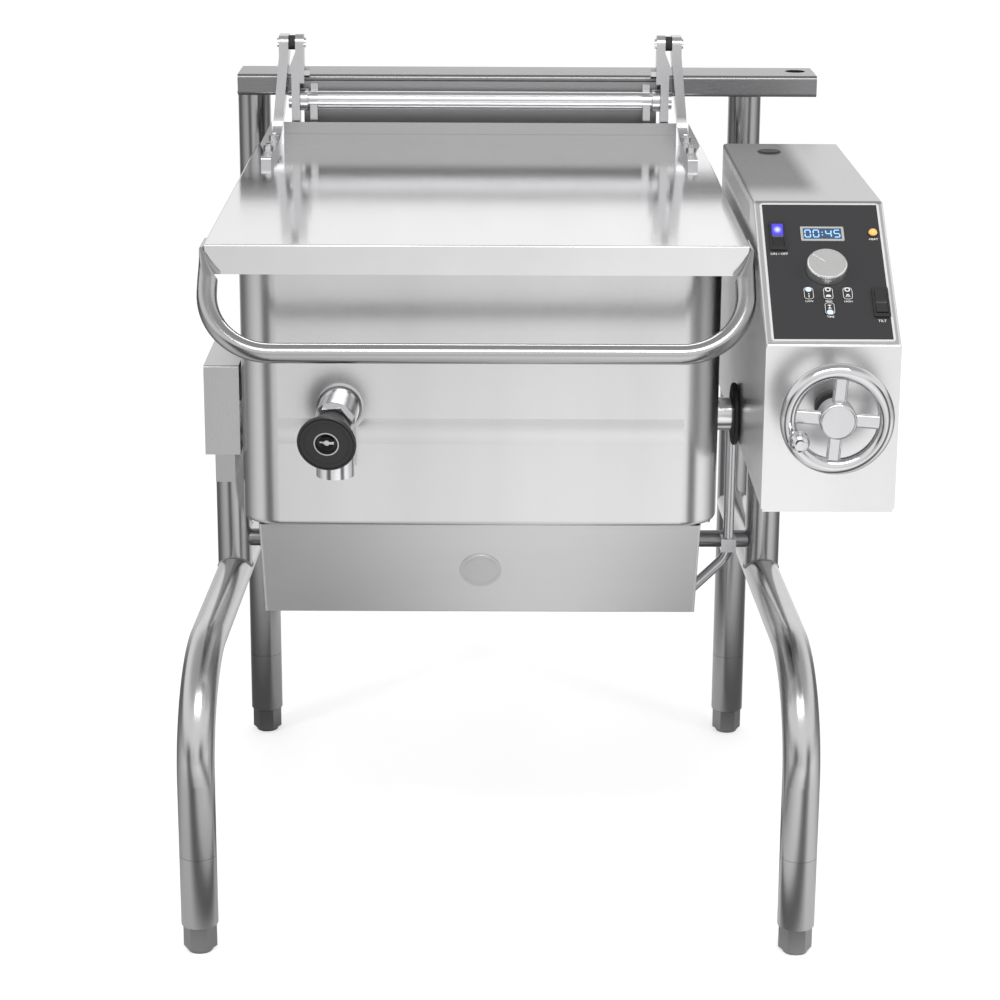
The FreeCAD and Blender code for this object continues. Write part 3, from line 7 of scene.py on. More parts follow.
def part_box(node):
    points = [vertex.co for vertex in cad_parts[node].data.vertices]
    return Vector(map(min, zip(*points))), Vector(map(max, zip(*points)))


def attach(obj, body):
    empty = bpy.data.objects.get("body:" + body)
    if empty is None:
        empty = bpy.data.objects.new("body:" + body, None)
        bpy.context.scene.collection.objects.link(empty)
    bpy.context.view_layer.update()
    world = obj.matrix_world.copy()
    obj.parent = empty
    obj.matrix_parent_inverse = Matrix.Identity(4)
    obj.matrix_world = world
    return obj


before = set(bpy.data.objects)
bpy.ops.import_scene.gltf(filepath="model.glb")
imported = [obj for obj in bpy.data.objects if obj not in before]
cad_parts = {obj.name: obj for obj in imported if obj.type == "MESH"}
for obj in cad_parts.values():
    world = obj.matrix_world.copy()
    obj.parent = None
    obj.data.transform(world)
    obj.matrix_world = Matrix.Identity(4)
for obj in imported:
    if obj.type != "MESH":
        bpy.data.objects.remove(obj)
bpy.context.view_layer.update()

# The view stands in front of the skillet and looks a little down on its lid.
# Its place and lens come from the lines of the object in the photograph.
view_place = Vector((-0.0411, -3.4170, 1.6440))
view_down = math.radians(15.05)
view_side = math.radians(0.224)
view_roll = math.radians(0.258)
ahead = Vector((math.sin(view_side) * math.cos(view_down), math.cos(view_side) * math.cos(view_down),
                -math.sin(view_down)))
flat_right = Vector((math.cos(view_side), -math.sin(view_side), 0.0))
flat_up = flat_right.cross(ahead)
right = math.cos(view_roll) * flat_right + math.sin(view_roll) * flat_up
up = math.cos(view_roll) * flat_up - math.sin(view_roll) * flat_right
camera = bpy.data.objects.new("camera", bpy.data.cameras.new("camera"))
camera.data.sensor_width = 36.0
camera.data.lens = 91.03
camera.data.shift_y = -0.11
camera.data.clip_end = 50.0
turn = Matrix((right, up, -ahead)).transposed().to_4x4()
camera.matrix_world = Matrix.Translation(view_place) @ turn
bpy.context.collection.objects.link(camera)
bpy.context.scene.camera = camera


# The studio: a white room with a wide lamp high in front and one at each side. Dark screens at the
# quarters and a grey ceiling give the bright metal its dark streaks.
class Value:
    """One socket of a finish, with the sums that can be made on it."""

    def __init__(self, finish, socket):
        self.finish = finish
        self.socket = socket

    def math(self, operation, *others):
        return self.finish.node("ShaderNodeMath", {"operation": operation}, [self, *others])

    def __add__(self, other):
        return self.math("ADD", other)

    def __sub__(self, other):
        return self.math("SUBTRACT", other)

    def __mul__(self, other):
        return self.math("MULTIPLY", other)

    def __truediv__(self, other):
        return self.math("DIVIDE", other)

    def __rsub__(self, other):
        return self.finish.node("ShaderNodeMath", {"operation": "SUBTRACT"}, [other, self])

    __radd__ = __add__
    __rmul__ = __mul__

    def above(self, edge, soft):
        limits = {"interpolation_type": "SMOOTHSTEP"}
        return self.finish.node("ShaderNodeMapRange", limits, {0: self, 1: edge - soft, 2: edge + soft})

    def below(self, edge, soft):
        return 1.0 - self.above(edge, soft)

    def within(self, low, high, soft):
        return self.above(low, soft) * self.below(high, soft)

    def shade_from(self, low, high):
        """This value as a share of the way from low to high."""
        return self.finish.node("ShaderNodeMapRange", None, {0: self, 1: low, 2: high})

    def shade(self, *stops):
        """A grey that follows this value through the given stops."""
        greys = [(place, (level, level, level)) for place, level in stops]
        return self.finish.node("ShaderNodeValToRGB", {"stops": greys}, [self])


def reach(first, second):
    """The distance from nought of a point with these two coordinates."""
    return (first * first + second * second).math("SQRT")


class Finish:
    """A surface or the room's light: a node tree whose varying sockets are fed by values."""

    def __init__(self, name, colour, rough, **constants):
        self.material = bpy.data.materials.new(name)
        self.material.use_nodes = True
        self.tree = self.material.node_tree
        self.tree.nodes.clear()
        self.surface = self.tree.nodes.new("ShaderNodeBsdfPrincipled")
        output = self.tree.nodes.new("ShaderNodeOutputMaterial")
        self.tree.links.new(self.surface.outputs[0], output.inputs[0])
        self.surface.inputs["Base Color"].default_value = (*colour, 1.0)
        self.surface.inputs["Roughness"].default_value = rough
        for key, amount in constants.items():
            self.surface.inputs[key.replace("_", " ")].default_value = amount
        self.material.diffuse_color = (*colour, 1.0)

    def node(self, kind, settings=None, sockets=None, output=0):
        made = self.tree.nodes.new(kind)
        for key, setting in (settings or {}).items():
            if key == "stops":
                ramp = made.color_ramp.elements
                while len(ramp) < len(setting):
                    ramp.new(0.5)
                for element, (place, shade) in zip(ramp, setting):
                    element.position = place
                    element.color = (*shade, 1.0)
            else:
                setattr(made, key, setting)
        pairs = sockets.items() if isinstance(sockets, dict) else enumerate(sockets or [])
        for key, value in pairs:
            if isinstance(value, Value):
                self.tree.links.new(value.socket, made.inputs[key])
            else:
                made.inputs[key].default_value = value
        return Value(self, made.outputs[output])

    def feed(self, name, value):
        self.tree.links.new(value.socket, self.surface.inputs[name])

    def place(self):
        """Object coordinates, in metres."""
        return self.node("ShaderNodeTexCoord", output=3)

    def along(self, axis):
        return self.node("ShaderNodeSeparateXYZ", None, [self.place()], output=axis)

    def noise(self, stretch, scale, detail=3.0, rough=0.6):
        spot = self.node("ShaderNodeMapping", None, {0: self.place(), 3: stretch})
        return self.node("ShaderNodeTexNoise", None, {"Vector": spot, "Scale": scale, "Detail": detail,
                                                      "Roughness": rough})

    def blend(self, share, first, second):
        return self.node("ShaderNodeMix", {"data_type": "RGBA"}, {0: share, 6: first, 7: second}, output=2)

    def tinted(self, first, second):
        """Two colours multiplied."""
        return self.node("ShaderNodeMix", {"data_type": "RGBA", "blend_type": "MULTIPLY"},
                         {0: 1.0, 6: first, 7: second}, output=2)

    def mottle(self, scale, dark, light):
        """Small soft spots between two colours as the base colour. The spots are given back."""
        spots = self.noise((1.0, 1.0, 1.0), scale)
        self.feed("Base Color", self.blend(spots, (*dark, 1.0), (*light, 1.0)))
        return spots

    def relief(self, height, strength, depth):
        self.feed("Normal", self.node("ShaderNodeBump", None, {"Strength": strength, "Distance": depth,
                                                               "Height": height}))


class RoomLight(Finish):
    """The light of the room, as seen in each direction."""

    def __init__(self, name):
        room = bpy.data.worlds.new(name)
        bpy.context.scene.world = room
        room.use_nodes = True
        self.tree = room.node_tree
        self.tree.nodes.clear()
        self.surface = self.tree.nodes.new("ShaderNodeBackground")
        output = self.tree.nodes.new("ShaderNodeOutputWorld")
        self.tree.links.new(self.surface.outputs[0], output.inputs[0])


def ray_is(finish, *kinds):
    """One where the ray is of one of these kinds, and nought elsewhere."""
    outputs = {"camera": 0, "glossy": 3, "transmission": 6}
    asked = [finish.node("ShaderNodeLightPath", output=outputs[kind]) for kind in kinds]
    total = asked[0]
    for other in asked[1:]:
        total = total.math("MAXIMUM", other)
    return total


def studio_shade(finish, across, deep):
    """White in front and behind, with a dark screen at each quarter, as bright metal reflects it.
    The left is a little dimmer than the right."""
    share = across.math("ABSOLUTE").math("ARCTAN2", -1.0 * deep) / math.pi
    sides = across / reach(across, deep)
    dimmer = sides.shade_from(-0.20, 0.12).shade((0.0, 0.74), (1.0, 1.0))
    screens = share.shade((0.0, 1.0), (0.115, 1.0), (0.17, 0.10), (0.235, 0.14), (0.30, 0.92), (0.40, 0.90),
                       (0.50, 0.62), (0.58, 0.30), (0.68, 0.14), (0.76, 0.18), (0.84, 0.90), (1.0, 1.0))
    return finish.tinted(screens, dimmer)


def studio_lamp(name, place, aim, width, height, power, mirrored):
    lamp = bpy.data.lights.new(name, "AREA")
    lamp.shape = "RECTANGLE"
    lamp.size = width
    lamp.size_y = height
    lamp.energy = power
    holder = bpy.data.objects.new(name, lamp)
    facing = (Vector(aim) - Vector(place)).to_track_quat("-Z", "Y")
    holder.matrix_world = Matrix.Translation(place) @ facing.to_matrix().to_4x4()
    holder.visible_glossy = mirrored
    bpy.context.collection.objects.link(holder)


studio_lamp("lamp_over", (0.2, -2.5, 3.3), (0.0, 0.0, 0.6), 2.4, 1.0, 40.0, True)
studio_lamp("lamp_left", (-3.0, -2.2, 1.9), (0.0, 0.0, 0.7), 0.7, 2.4, 30.0, False)
studio_lamp("lamp_right", (3.0, -1.8, 2.1), (0.0, 0.0, 0.7), 0.7, 2.4, 22.0, False)
bpy.context.scene.view_settings.view_transform = "Standard"

room = RoomLight("room")
seen_way = room.node("ShaderNodeTexCoord")
way = [room.node("ShaderNodeSeparateXYZ", None, [seen_way], output=axis) for axis in range(3)]
climb = way[2] * 0.5 + 0.5
ceiling = climb.shade((0.0, 0.9), (0.5, 1.0), (0.60, 1.12), (0.80, 1.05), (0.89, 0.62), (1.0, 0.50))
mirrored = room.blend(climb.above(0.60, 0.05), studio_shade(room, way[0], way[1]), (1.0, 1.0, 1.0, 1.0))
mirrored = room.tinted(mirrored, ceiling)
lit = room.blend(ray_is(room, "glossy"), (0.60, 0.60, 0.60, 1.0), mirrored)
room.feed("Color", room.blend(ray_is(room, "camera", "transmission"), lit, (1.0, 1.0, 1.0, 1.0)))

# The floor: a wide white sheet that the feet stand on. It is seen as white with the feet's shadows,
# and bright metal mirrors it as the same white and dark screens as the room, with painted shade near the
# skillet.
floor_half = 12.0
floor_glow = 0.50
floor_mesh = bpy.data.meshes.new("floor")
sheet = bmesh.new()
bmesh.ops.create_grid(sheet, x_segments=8, y_segments=8, size=floor_half)
sheet.to_mesh(floor_mesh)
sheet.free()
floor = bpy.data.objects.new("floor", floor_mesh)
bpy.context.collection.objects.link(floor)
floor_paint = Finish("floor_paint", (0.82, 0.82, 0.82), 0.7, Emission_Strength=floor_glow)
shine_on_floor = ray_is(floor_paint, "glossy")
floor_x = floor_paint.along(0)
floor_y = floor_paint.along(1)
# Seen in bright metal, the floor is painted darker near the skillet, fading out by two metres: painted
# shade.
far_off = reach(floor_x, floor_y).shade_from(0.4, 2.0)
floor_screens_and_shade = floor_paint.tinted(studio_shade(floor_paint, floor_x, floor_y),
                                   far_off.shade((0.0, 0.68), (1.0, 0.97)))
floor_paint.feed("Base Color", floor_paint.node(
    "ShaderNodeMix", {"data_type": "RGBA", "blend_type": "MULTIPLY"},
    {0: shine_on_floor, 6: (0.82, 0.82, 0.82, 1.0), 7: floor_screens_and_shade}, output=2))
glow = floor_paint.blend(shine_on_floor, (1.0, 1.0, 1.0, 1.0), floor_screens_and_shade)
shown = ray_is(floor_paint, "camera", "glossy", "transmission")
floor_paint.feed("Emission Color", floor_paint.blend(shown, (0.0, 0.0, 0.0, 1.0), glow))
floor_mesh.materials.append(floor_paint.material)


# Side frames: two front legs bent from 2 inch stainless tube, which run back as side rails to the
# rear posts, with a short main post on each rail. All tube is satin polished along its length.
def brushed(name, colour, rough, grain, cloud=0.05, fine=0.06, depth=0.00001):
    """Brushed stainless: fine lines across the short axis of the grain, and slow soft bands."""
    steel = Finish(name, colour, rough, Metallic=1.0)
    lines = steel.noise(grain, 70.0, 3.0, 0.7)
    clouds = steel.noise((1.0, 1.0, 1.0), 3.2, 2.0, 0.5)
    smears = steel.noise(tuple(0.3 + 0.9 * g for g in grain), 1.6, 2.0, 0.55)
    shade = (lines - 0.5) * fine + (clouds - 0.5) * cloud + (smears - 0.5) * (1.6 * cloud)
    dark = tuple(c * 0.5 for c in colour)
    light = tuple(c * 1.5 for c in colour)
    steel.colour = steel.blend(shade + 0.5, (*dark, 1.0), (*light, 1.0))
    steel.feed("Base Color", steel.colour)
    steel.feed("Roughness", rough + (lines - 0.5) * 0.08 + (clouds - 0.5) * 0.06)
    steel.relief(lines, 0.15, depth)
    return steel


def dress(finish, *nodes):
    """Give carried-over nodes their finish."""
    for name in nodes:
        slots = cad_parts[name].data.materials
        if len(slots) == 0:
            slots.append(finish.material)
        for index in range(len(slots)):
            slots[index] = finish.material


tube_r = 0.0254
tube_steel = brushed("tube_steel", (0.43, 0.43, 0.435), 0.20, (9.0, 9.0, 0.5), cloud=0.10, fine=0.10)
rail_steel = brushed("rail_steel", (0.42, 0.42, 0.425), 0.24, (9.0, 0.7, 9.0), cloud=0.10, fine=0.10)
# The front legs get a lighter copy of the posts' tube steel: painted light on the same tube.
lit_leg_steel = brushed("lit_leg_steel", (0.54, 0.54, 0.545), 0.22, (9.0, 9.0, 0.5), cloud=0.10, fine=0.10)
dress(lit_leg_steel, "front_leg_left", "front_leg_right")
dress(tube_steel, "main_post_left", "main_post_right", "rear_post_left", "rear_post_right")
dress(rail_steel, "trunnion_arm_left", "trunnion_arm_right")

# Weld beads: stainless filler laid in small overlapping ripples round each joint of the tubes.
# Those of the posts follow the saddle that one tube cuts in the other.
def add_piece(name, mesh, finish, body):
    """Put a finished mesh in the scene as a piece that rides on a body."""
    if finish is not None:
        mesh.materials.clear()
        mesh.materials.append(finish.material)
    piece = bpy.data.objects.new(name, mesh)
    bpy.context.collection.objects.link(piece)
    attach(piece, body)
    return piece


class Repeat:
    """A geometry tree that sets one small shape again and again along a guide."""

    def __init__(self, name, **sizes):
        self.tree = bpy.data.node_groups.new(name, "GeometryNodeTree")
        self.tree.interface.new_socket("Geometry", in_out="INPUT", socket_type="NodeSocketGeometry")
        for label, size in sizes.items():
            socket = self.tree.interface.new_socket(label, in_out="INPUT", socket_type="NodeSocketFloat")
            socket.default_value = size
        self.tree.interface.new_socket("Geometry", in_out="OUTPUT", socket_type="NodeSocketGeometry")
        self.entry = self.tree.nodes.new("NodeGroupInput")
        self.leave = self.tree.nodes.new("NodeGroupOutput")

    def node(self, kind, settings=None, sockets=None):
        made = self.tree.nodes.new(kind)
        for key, setting in (settings or {}).items():
            setattr(made, key, setting)
        for key, value in (sockets or {}).items():
            if isinstance(value, bpy.types.NodeSocket):
                self.tree.links.new(value, made.inputs[key])
            else:
                made.inputs[key].default_value = value
        return made

    def size(self, label):
        return self.entry.outputs[label]

    def finish(self, copies, finish):
        real = self.node("GeometryNodeRealizeInstances", None, {0: copies})
        coated = self.node("GeometryNodeSetMaterial", None, {"Geometry": real.outputs[0],
                                                             "Material": finish.material})
        self.tree.links.new(coated.outputs[0], self.leave.inputs[0])

    def grow(self, name, guide):
        """The plain mesh that the tree makes on this guide."""
        holder = bpy.data.objects.new(name + "_guide", guide)
        bpy.context.collection.objects.link(holder)
        holder.modifiers.new("repeat", "NODES").node_group = self.tree
        evaluated = holder.evaluated_get(bpy.context.evaluated_depsgraph_get())
        mesh = bpy.data.meshes.new_from_object(evaluated)
        mesh.name = name
        holder.modifiers.clear()
        bpy.data.objects.remove(holder)
        return mesh


def closed_path(name, points):
    """A closed line through these points."""
    path = bpy.data.curves.new(name, "CURVE")
    path.dimensions = "3D"
    line = path.splines.new("POLY")
    line.points.add(len(points) - 1)
    for spot, point in zip(line.points, points):
        spot.co = (*point, 1.0)
    line.use_cyclic_u = True
    return path


ripple_r = 0.0017
ripple_step = 0.0019
weld_steel = brushed("weld_steel", (0.42, 0.41, 0.40), 0.30, (3.0, 3.0, 3.0))
ripples = Repeat("weld_ripples", Step=ripple_step, Radius=ripple_r)
steps = ripples.node("GeometryNodeCurveToPoints", {"mode": "LENGTH"},
                     {"Curve": ripples.entry.outputs[0], "Length": ripples.size("Step")})
drop = ripples.node("GeometryNodeMeshIcoSphere", None,
                    {"Radius": ripples.size("Radius"), "Subdivisions": 2})
laid = ripples.node("GeometryNodeInstanceOnPoints", None,
                    {"Points": steps.outputs["Points"], "Instance": drop.outputs[0],
                     "Rotation": steps.outputs["Rotation"], "Scale": (1.0, 0.9, 0.55)})
ripples.finish(laid.outputs[0], weld_steel)
rail_z = 0.399
post_y = 0.1764
rear_y = 0.5194
saddle_low = 0.24
bead_drop = 0.0006
turns = [2.0 * math.pi * step / 96 for step in range(96)]
for side in ("left", "right"):
    low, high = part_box("main_post_" + side)
    middle = (low.x + high.x) / 2
    saddle = [(middle + tube_r * math.cos(t), post_y + tube_r * math.sin(t),
               rail_z + tube_r * max(saddle_low, abs(math.sin(t)))) for t in turns]
    add_piece("weld_post_" + side, ripples.grow("weld_post_" + side, closed_path("saddle_" + side, saddle)),
              None, "frame")
    low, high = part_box("rear_post_" + side)
    middle = (low.x + high.x) / 2
    collar = [(middle + tube_r * math.cos(t), rear_y + tube_r * math.sin(t), high.z - bead_drop)
              for t in turns]
    add_piece("weld_bar_" + side, ripples.grow("weld_bar_" + side, closed_path("collar_" + side, collar)),
              None, "frame")

# Crossbar: a flat box tube that ties the rear posts and carries the fill tap at its right end.
# A thinner round tube, the cross brace, ties the main posts below the pan.
bar_steel = brushed("bar_steel", (0.25, 0.25, 0.255), 0.27, (0.4, 9.0, 9.0),
                    cloud=0.03, fine=0.04, depth=0.000003)
dress(bar_steel, "crossbar", "cross_brace")

# Feet: each is a sleeve with a hexagon end that screws out of the leg to level the skillet.
# The sleeve has the leg's satin lines, and the hexagon is duller turned steel.
hex_top = 0.0385
foot_steel = Finish("foot_steel", (0.43, 0.43, 0.435), 0.22, Metallic=1.0)
foot_lines = foot_steel.noise((9.0, 9.0, 0.5), 60.0)
hex_part = foot_steel.along(2).below(hex_top, 0.0004)
# The front sleeves are painted lighter than the rear ones, the same painted light as the front legs.
front_pair = foot_steel.along(1).below(0.0, 0.01)
painted_light_sleeve = foot_steel.blend(front_pair, (0.43, 0.43, 0.435, 1.0), (0.54, 0.54, 0.545, 1.0))
foot_steel.feed("Base Color", foot_steel.blend(hex_part, painted_light_sleeve, (0.32, 0.32, 0.325, 1.0)))
foot_steel.feed("Roughness", 0.18 + foot_lines * 0.08 + hex_part * 0.08)
foot_steel.relief(foot_lines, 0.1, 0.00002)
dress(foot_steel, "foot_front_left", "foot_front_right", "foot_rear_left", "foot_rear_right")

# Trunnion housing: a folded stainless cover over the left bearing, on its arm.
# The two bearings under the covers are sand cast iron.
case_steel = brushed("case_steel", (0.49, 0.49, 0.495), 0.28, (9.0, 9.0, 0.4),
                     cloud=0.03, fine=0.03, depth=0.000004)
dress(case_steel, "trunnion_housing")
cast_iron = Finish("cast_iron", (0.12, 0.12, 0.125), 0.62, Metallic=0.6)
sand = cast_iron.mottle(420.0, (0.09, 0.09, 0.095), (0.17, 0.17, 0.175))
cast_iron.relief(sand, 0.4, 0.0003)
dress(cast_iron, "bearing_left", "bearing_right")

# Console: a folded stainless case with a sloping control face, open slots along the top of its
# inner side, a floor, a rear cover and a rubber plug in its top.
console_steel = brushed("console_steel", (0.80, 0.80, 0.805), 0.30, (9.0, 0.6, 0.8), cloud=0.05, fine=0.03)
# The case's top is painted shade: near black over most of it and mid grey along its right end and front
# edge, though it is the same sheet as the bright sides.
case_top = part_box("console_shell")[1].z
on_top = console_steel.along(2).above(case_top - 0.0030, 0.0012)
painted_shade_right = 0.378
painted_shade_front = -0.20
painted_shade_part = console_steel.along(0).below(painted_shade_right, 0.016) * console_steel.along(1).above(painted_shade_front, 0.06)
painted_top_shade = console_steel.blend(painted_shade_part, (0.48, 0.48, 0.485, 1.0), (0.060, 0.060, 0.062, 1.0))
console_steel.feed("Base Color", console_steel.blend(on_top, console_steel.colour, painted_top_shade))
dress(console_steel, "console_shell", "console_floor", "console_back")
black_rubber = Finish("black_rubber", (0.022, 0.022, 0.023), 0.62)
rubber_dust = black_rubber.mottle(160.0, (0.015, 0.015, 0.016), (0.04, 0.04, 0.042))
black_rubber.feed("Roughness", 0.52 + rubber_dust * 0.2)
black_rubber.relief(rubber_dust, 0.2, 0.0001)
dress(black_rubber, "hole_plug", "seal_ring", "hinge_bushes", "front_bush", "knob_bush")

# Cover screws: six pan-head steel screws hold the console's rear cover, three up each edge.
# Each is a short round head with its face a little proud of the sheet.
screw_r = 0.0042
cover_steel = brushed("cover_steel", (0.62, 0.62, 0.625), 0.24, (4.0, 4.0, 4.0))
heads = Repeat("cover_screws", Radius=screw_r, Height=0.0022)
head = heads.node("GeometryNodeMeshCylinder", {"fill_type": "TRIANGLE_FAN"},
                  {"Vertices": 20, "Radius": heads.size("Radius"), "Depth": heads.size("Height")})
seat = heads.node("GeometryNodeInstanceOnPoints", None,
                  {"Points": heads.entry.outputs[0], "Instance": head.outputs[0],
                   "Rotation": (math.radians(90.0), 0.0, 0.0)})
heads.finish(seat.outputs[0], cover_steel)
cover_low, cover_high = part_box("console_back")
from_side = 0.009
from_end = 0.02
proud = 0.0009
spots = []
for x in (cover_low.x + from_side, cover_high.x - from_side):
    for z in (cover_low.z + from_end, (cover_low.z + cover_high.z) / 2, cover_high.z - from_end):
        spots.append((x, cover_high.y + proud, z))
screw_guide = bpy.data.meshes.new("screw_places")
screw_guide.from_pydata(spots, [], [])
add_piece("cover_screws", heads.grow("cover_screws", screw_guide), None, "frame")

# Control face: a black film with a pale line round its edge, on the slope of the console.
# Its places are measured across (u) and up the slope (v) from the console's lower front corner.
face_corner = Vector((0.2902, -0.4686, 0.908))
face_slope = math.atan2(0.139, 0.197)
face_up = Vector((0.0, math.cos(face_slope), math.sin(face_slope)))
face_out = Vector((0.0, -math.sin(face_slope), math.cos(face_slope)))
face_turn = Matrix((Vector((1.0, 0.0, 0.0)), face_up, face_out)).transposed().to_4x4()
film_t = 0.0012
film_edge = 0.0028
film_sides = (0.007, 0.157)
film_ends = (0.006, 0.236)


def on_face(u, v, h):
    """A place on the control face: across, up the slope, and out of it."""
    return Matrix.Translation(face_corner) @ face_turn @ Matrix.Translation((u, v, h))


def face_place(finish, place=(0.0, 0.0)):
    """How far a point lies across and up the control face from a place on it."""
    rise = (finish.along(1) - face_corner.y) * face_up.y + (finish.along(2) - face_corner.z) * face_up.z
    return finish.along(0) - (face_corner.x + place[0]), rise - place[1]


film = Finish("film", (0.030, 0.030, 0.032), 0.42)
across, upward = face_place(film)
inner = across.within(film_sides[0] + film_edge, film_sides[1] - film_edge, 0.0002)
inner = inner * upward.within(film_ends[0] + film_edge, film_ends[1] - film_edge, 0.0002)
film_grain = film.noise((1.0, 1.0, 1.0), 900.0)
black_film = film.blend(film_grain, (0.024, 0.024, 0.026, 1.0), (0.040, 0.040, 0.043, 1.0))
film.feed("Base Color", film.blend(inner, (0.74, 0.74, 0.73, 1.0), black_film))
film.feed("Roughness", 0.36 + film_grain * 0.12)
film.relief(film_grain, 0.2, 0.00003)
dress(film, "overlay")
black_plastic = Finish("black_plastic", (0.02, 0.02, 0.021), 0.36)
plastic_grain = black_plastic.mottle(700.0, (0.014, 0.014, 0.015), (0.034, 0.034, 0.036))
black_plastic.feed("Roughness", 0.28 + plastic_grain * 0.18)
black_plastic.relief(plastic_grain, 0.3, 0.00008)
dress(black_plastic, "switch_bezels", "tilt_rocker")

# Print on the film: white words by the switches and lamp, and the outline, ring and sign of each
# pad. The ink is a thin raised layer, and the pads under it are dark film.
print_ink = Finish("print_ink", (0.86, 0.86, 0.85), 0.5)
print_ink.mottle(1200.0, (0.78, 0.78, 0.77), (0.92, 0.92, 0.91))
ink_t = 0.00012
print_parts = bmesh.new()


def as_mesh(name, parts):
    """The parts built so far as one mesh, with their sides facing out."""
    mesh = bpy.data.meshes.new(name)
    bmesh.ops.recalc_face_normals(parts, faces=parts.faces)
    parts.to_mesh(mesh)
    parts.free()
    return mesh


def print_word(text, u, v, size):
    """Small block letters centred at this place, as a thin raised print."""
    word = bpy.data.curves.new("word", "FONT")
    word.body = text
    word.size = size
    word.align_x = "CENTER"
    word.align_y = "CENTER"
    word.extrude = ink_t / 2
    word.offset = size * 0.012
    word.resolution_u = 2
    holder = bpy.data.objects.new("word", word)
    bpy.context.collection.objects.link(holder)
    letters = bpy.data.meshes.new_from_object(holder.evaluated_get(bpy.context.evaluated_depsgraph_get()))
    bpy.data.objects.remove(holder)
    letters.transform(on_face(u, v, film_t + ink_t / 2))
    print_parts.from_mesh(letters)


def print_band(parts, outer, inner, seat, height):
    """A flat band between two closed outlines, as a thin raised print."""
    rings = []
    for outline, level in ((outer, height), (inner, height), (inner, 0.0), (outer, 0.0)):
        rings.append([parts.verts.new(seat @ Vector((x, y, level))) for x, y in outline])
    count = len(outer)
    for first, second in zip(rings, rings[1:] + rings[:1]):
        for step in range(count):
            after = (step + 1) % count
            parts.faces.new((first[step], first[after], second[after], second[step]))


def print_patch(parts, outline, seat, height):
    """A flat filled patch, as a thin raised print."""
    top = [parts.verts.new(seat @ Vector((x, y, height))) for x, y in outline]
    foot = [parts.verts.new(seat @ Vector((x, y, 0.0))) for x, y in outline]
    parts.faces.new(top)
    parts.faces.new(foot[::-1])
    for step in range(len(outline)):
        after = (step + 1) % len(outline)
        parts.faces.new((foot[step], foot[after], top[after], top[step]))


def ring_line(radius, count=28):
    return [(radius * math.cos(2.0 * math.pi * k / count), radius * math.sin(2.0 * math.pi * k / count))
            for k in range(count)]


def pill_line(width, height, corner, steps=6):
    line = []
    for turn_x, turn_y, start in ((1, 1, 0.0), (-1, 1, 0.5), (-1, -1, 1.0), (1, -1, 1.5)):
        for k in range(steps + 1):
            angle = math.pi * (start + 0.5 * k / steps)
            line.append((turn_x * (width / 2 - corner) + corner * math.cos(angle),
                         turn_y * (height / 2 - corner) + corner * math.sin(angle)))
    return line


switch_place = (0.026, 0.178)
tilt_place = (0.1445, 0.068)
lamp_place = (0.1453, 0.1845)
pad_top = film_t + 0.0008
pad_row = (0.0574, 0.0812, 0.1050)
pad_v = 0.0825
low_pad_v = 0.0577
switch_word = 0.0052
lamp_word = 0.0046
pad_word = 0.0042
under_switch = 0.0295
print_word("ON / OFF", switch_place[0], switch_place[1] - under_switch, switch_word)
print_word("TILT", tilt_place[0] - 0.001, tilt_place[1] - under_switch, switch_word)
print_word("HEAT", lamp_place[0], lamp_place[1] - 0.0105, lamp_word)
for u, word in zip(pad_row, ("LOW", "MED", "HIGH")):
    print_word(word, u, pad_v - 0.0125, pad_word)
print_word("TIME", pad_row[1], low_pad_v - 0.0127, pad_word)
pad_seats = [on_face(u, pad_v, pad_top) for u in pad_row] + [on_face(pad_row[1], low_pad_v, pad_top)]
pad_w = 0.0116
pad_h = 0.0190
pad_corner = 0.0040
pad_line = 0.0006
ring_up = 0.0062
dot_down = 0.0010
outer_line = pill_line(pad_w, pad_h, pad_corner)
inner_line = pill_line(pad_w - 2 * pad_line, pad_h - 2 * pad_line, pad_corner - pad_line)
for seat in pad_seats:
    print_band(print_parts, outer_line, inner_line, seat, ink_t)
for seat in pad_seats[1:3]:
    ring_seat = seat @ Matrix.Translation((0.0, ring_up, ink_t))
    print_band(print_parts, ring_line(0.0036), ring_line(0.0020), ring_seat, ink_t)
dot_seat = pad_seats[0] @ Matrix.Translation((0.0, -dot_down, 0.0))
print_patch(print_parts, ring_line(0.0009, 12), dot_seat, ink_t)
stalk = [(-0.0006, -0.0066), (0.0006, -0.0066), (0.0006, -0.0030), (-0.0006, -0.0030)]
print_patch(print_parts, stalk, pad_seats[0], ink_t)
mound = [(-0.0034, -0.0058), (0.0034, -0.0058), (0.0030, -0.0034), (0.0014, -0.0020),
         (-0.0014, -0.0020), (-0.0030, -0.0034)]
print_patch(print_parts, mound, pad_seats[1], ink_t)
ray_half = 0.0005
ray_foot = -0.0060
ray_tip = -0.0012
for lean in (-0.0026, 0.0, 0.0026):
    tip = lean * 0.3
    ray = [(lean - ray_half, ray_foot), (lean + ray_half, ray_foot),
           (tip + ray_half, ray_tip), (tip - ray_half, ray_tip)]
    print_patch(print_parts, ray, pad_seats[2], ink_t)
upper_glass = [(0.0026, 0.0060), (0.0, 0.0030), (-0.0026, 0.0060)]
lower_glass = [(-0.0026, 0.0000), (0.0026, 0.0000), (0.0, 0.0030)]
print_patch(print_parts, upper_glass, pad_seats[3], ink_t)
print_patch(print_parts, lower_glass, pad_seats[3], ink_t)
bmesh.ops.remove_doubles(print_parts, verts=print_parts.verts, dist=0.000001)
add_piece("face_print", as_mesh("face_print", print_parts), print_ink, "frame")
pad_film = Finish("pad_film", (0.05, 0.05, 0.055), 0.38)
pad_print = pad_film.mottle(600.0, (0.022, 0.022, 0.025), (0.045, 0.045, 0.05))
pad_film.feed("Roughness", 0.32 + pad_print * 0.12)
dress(pad_film, "mode_pads")

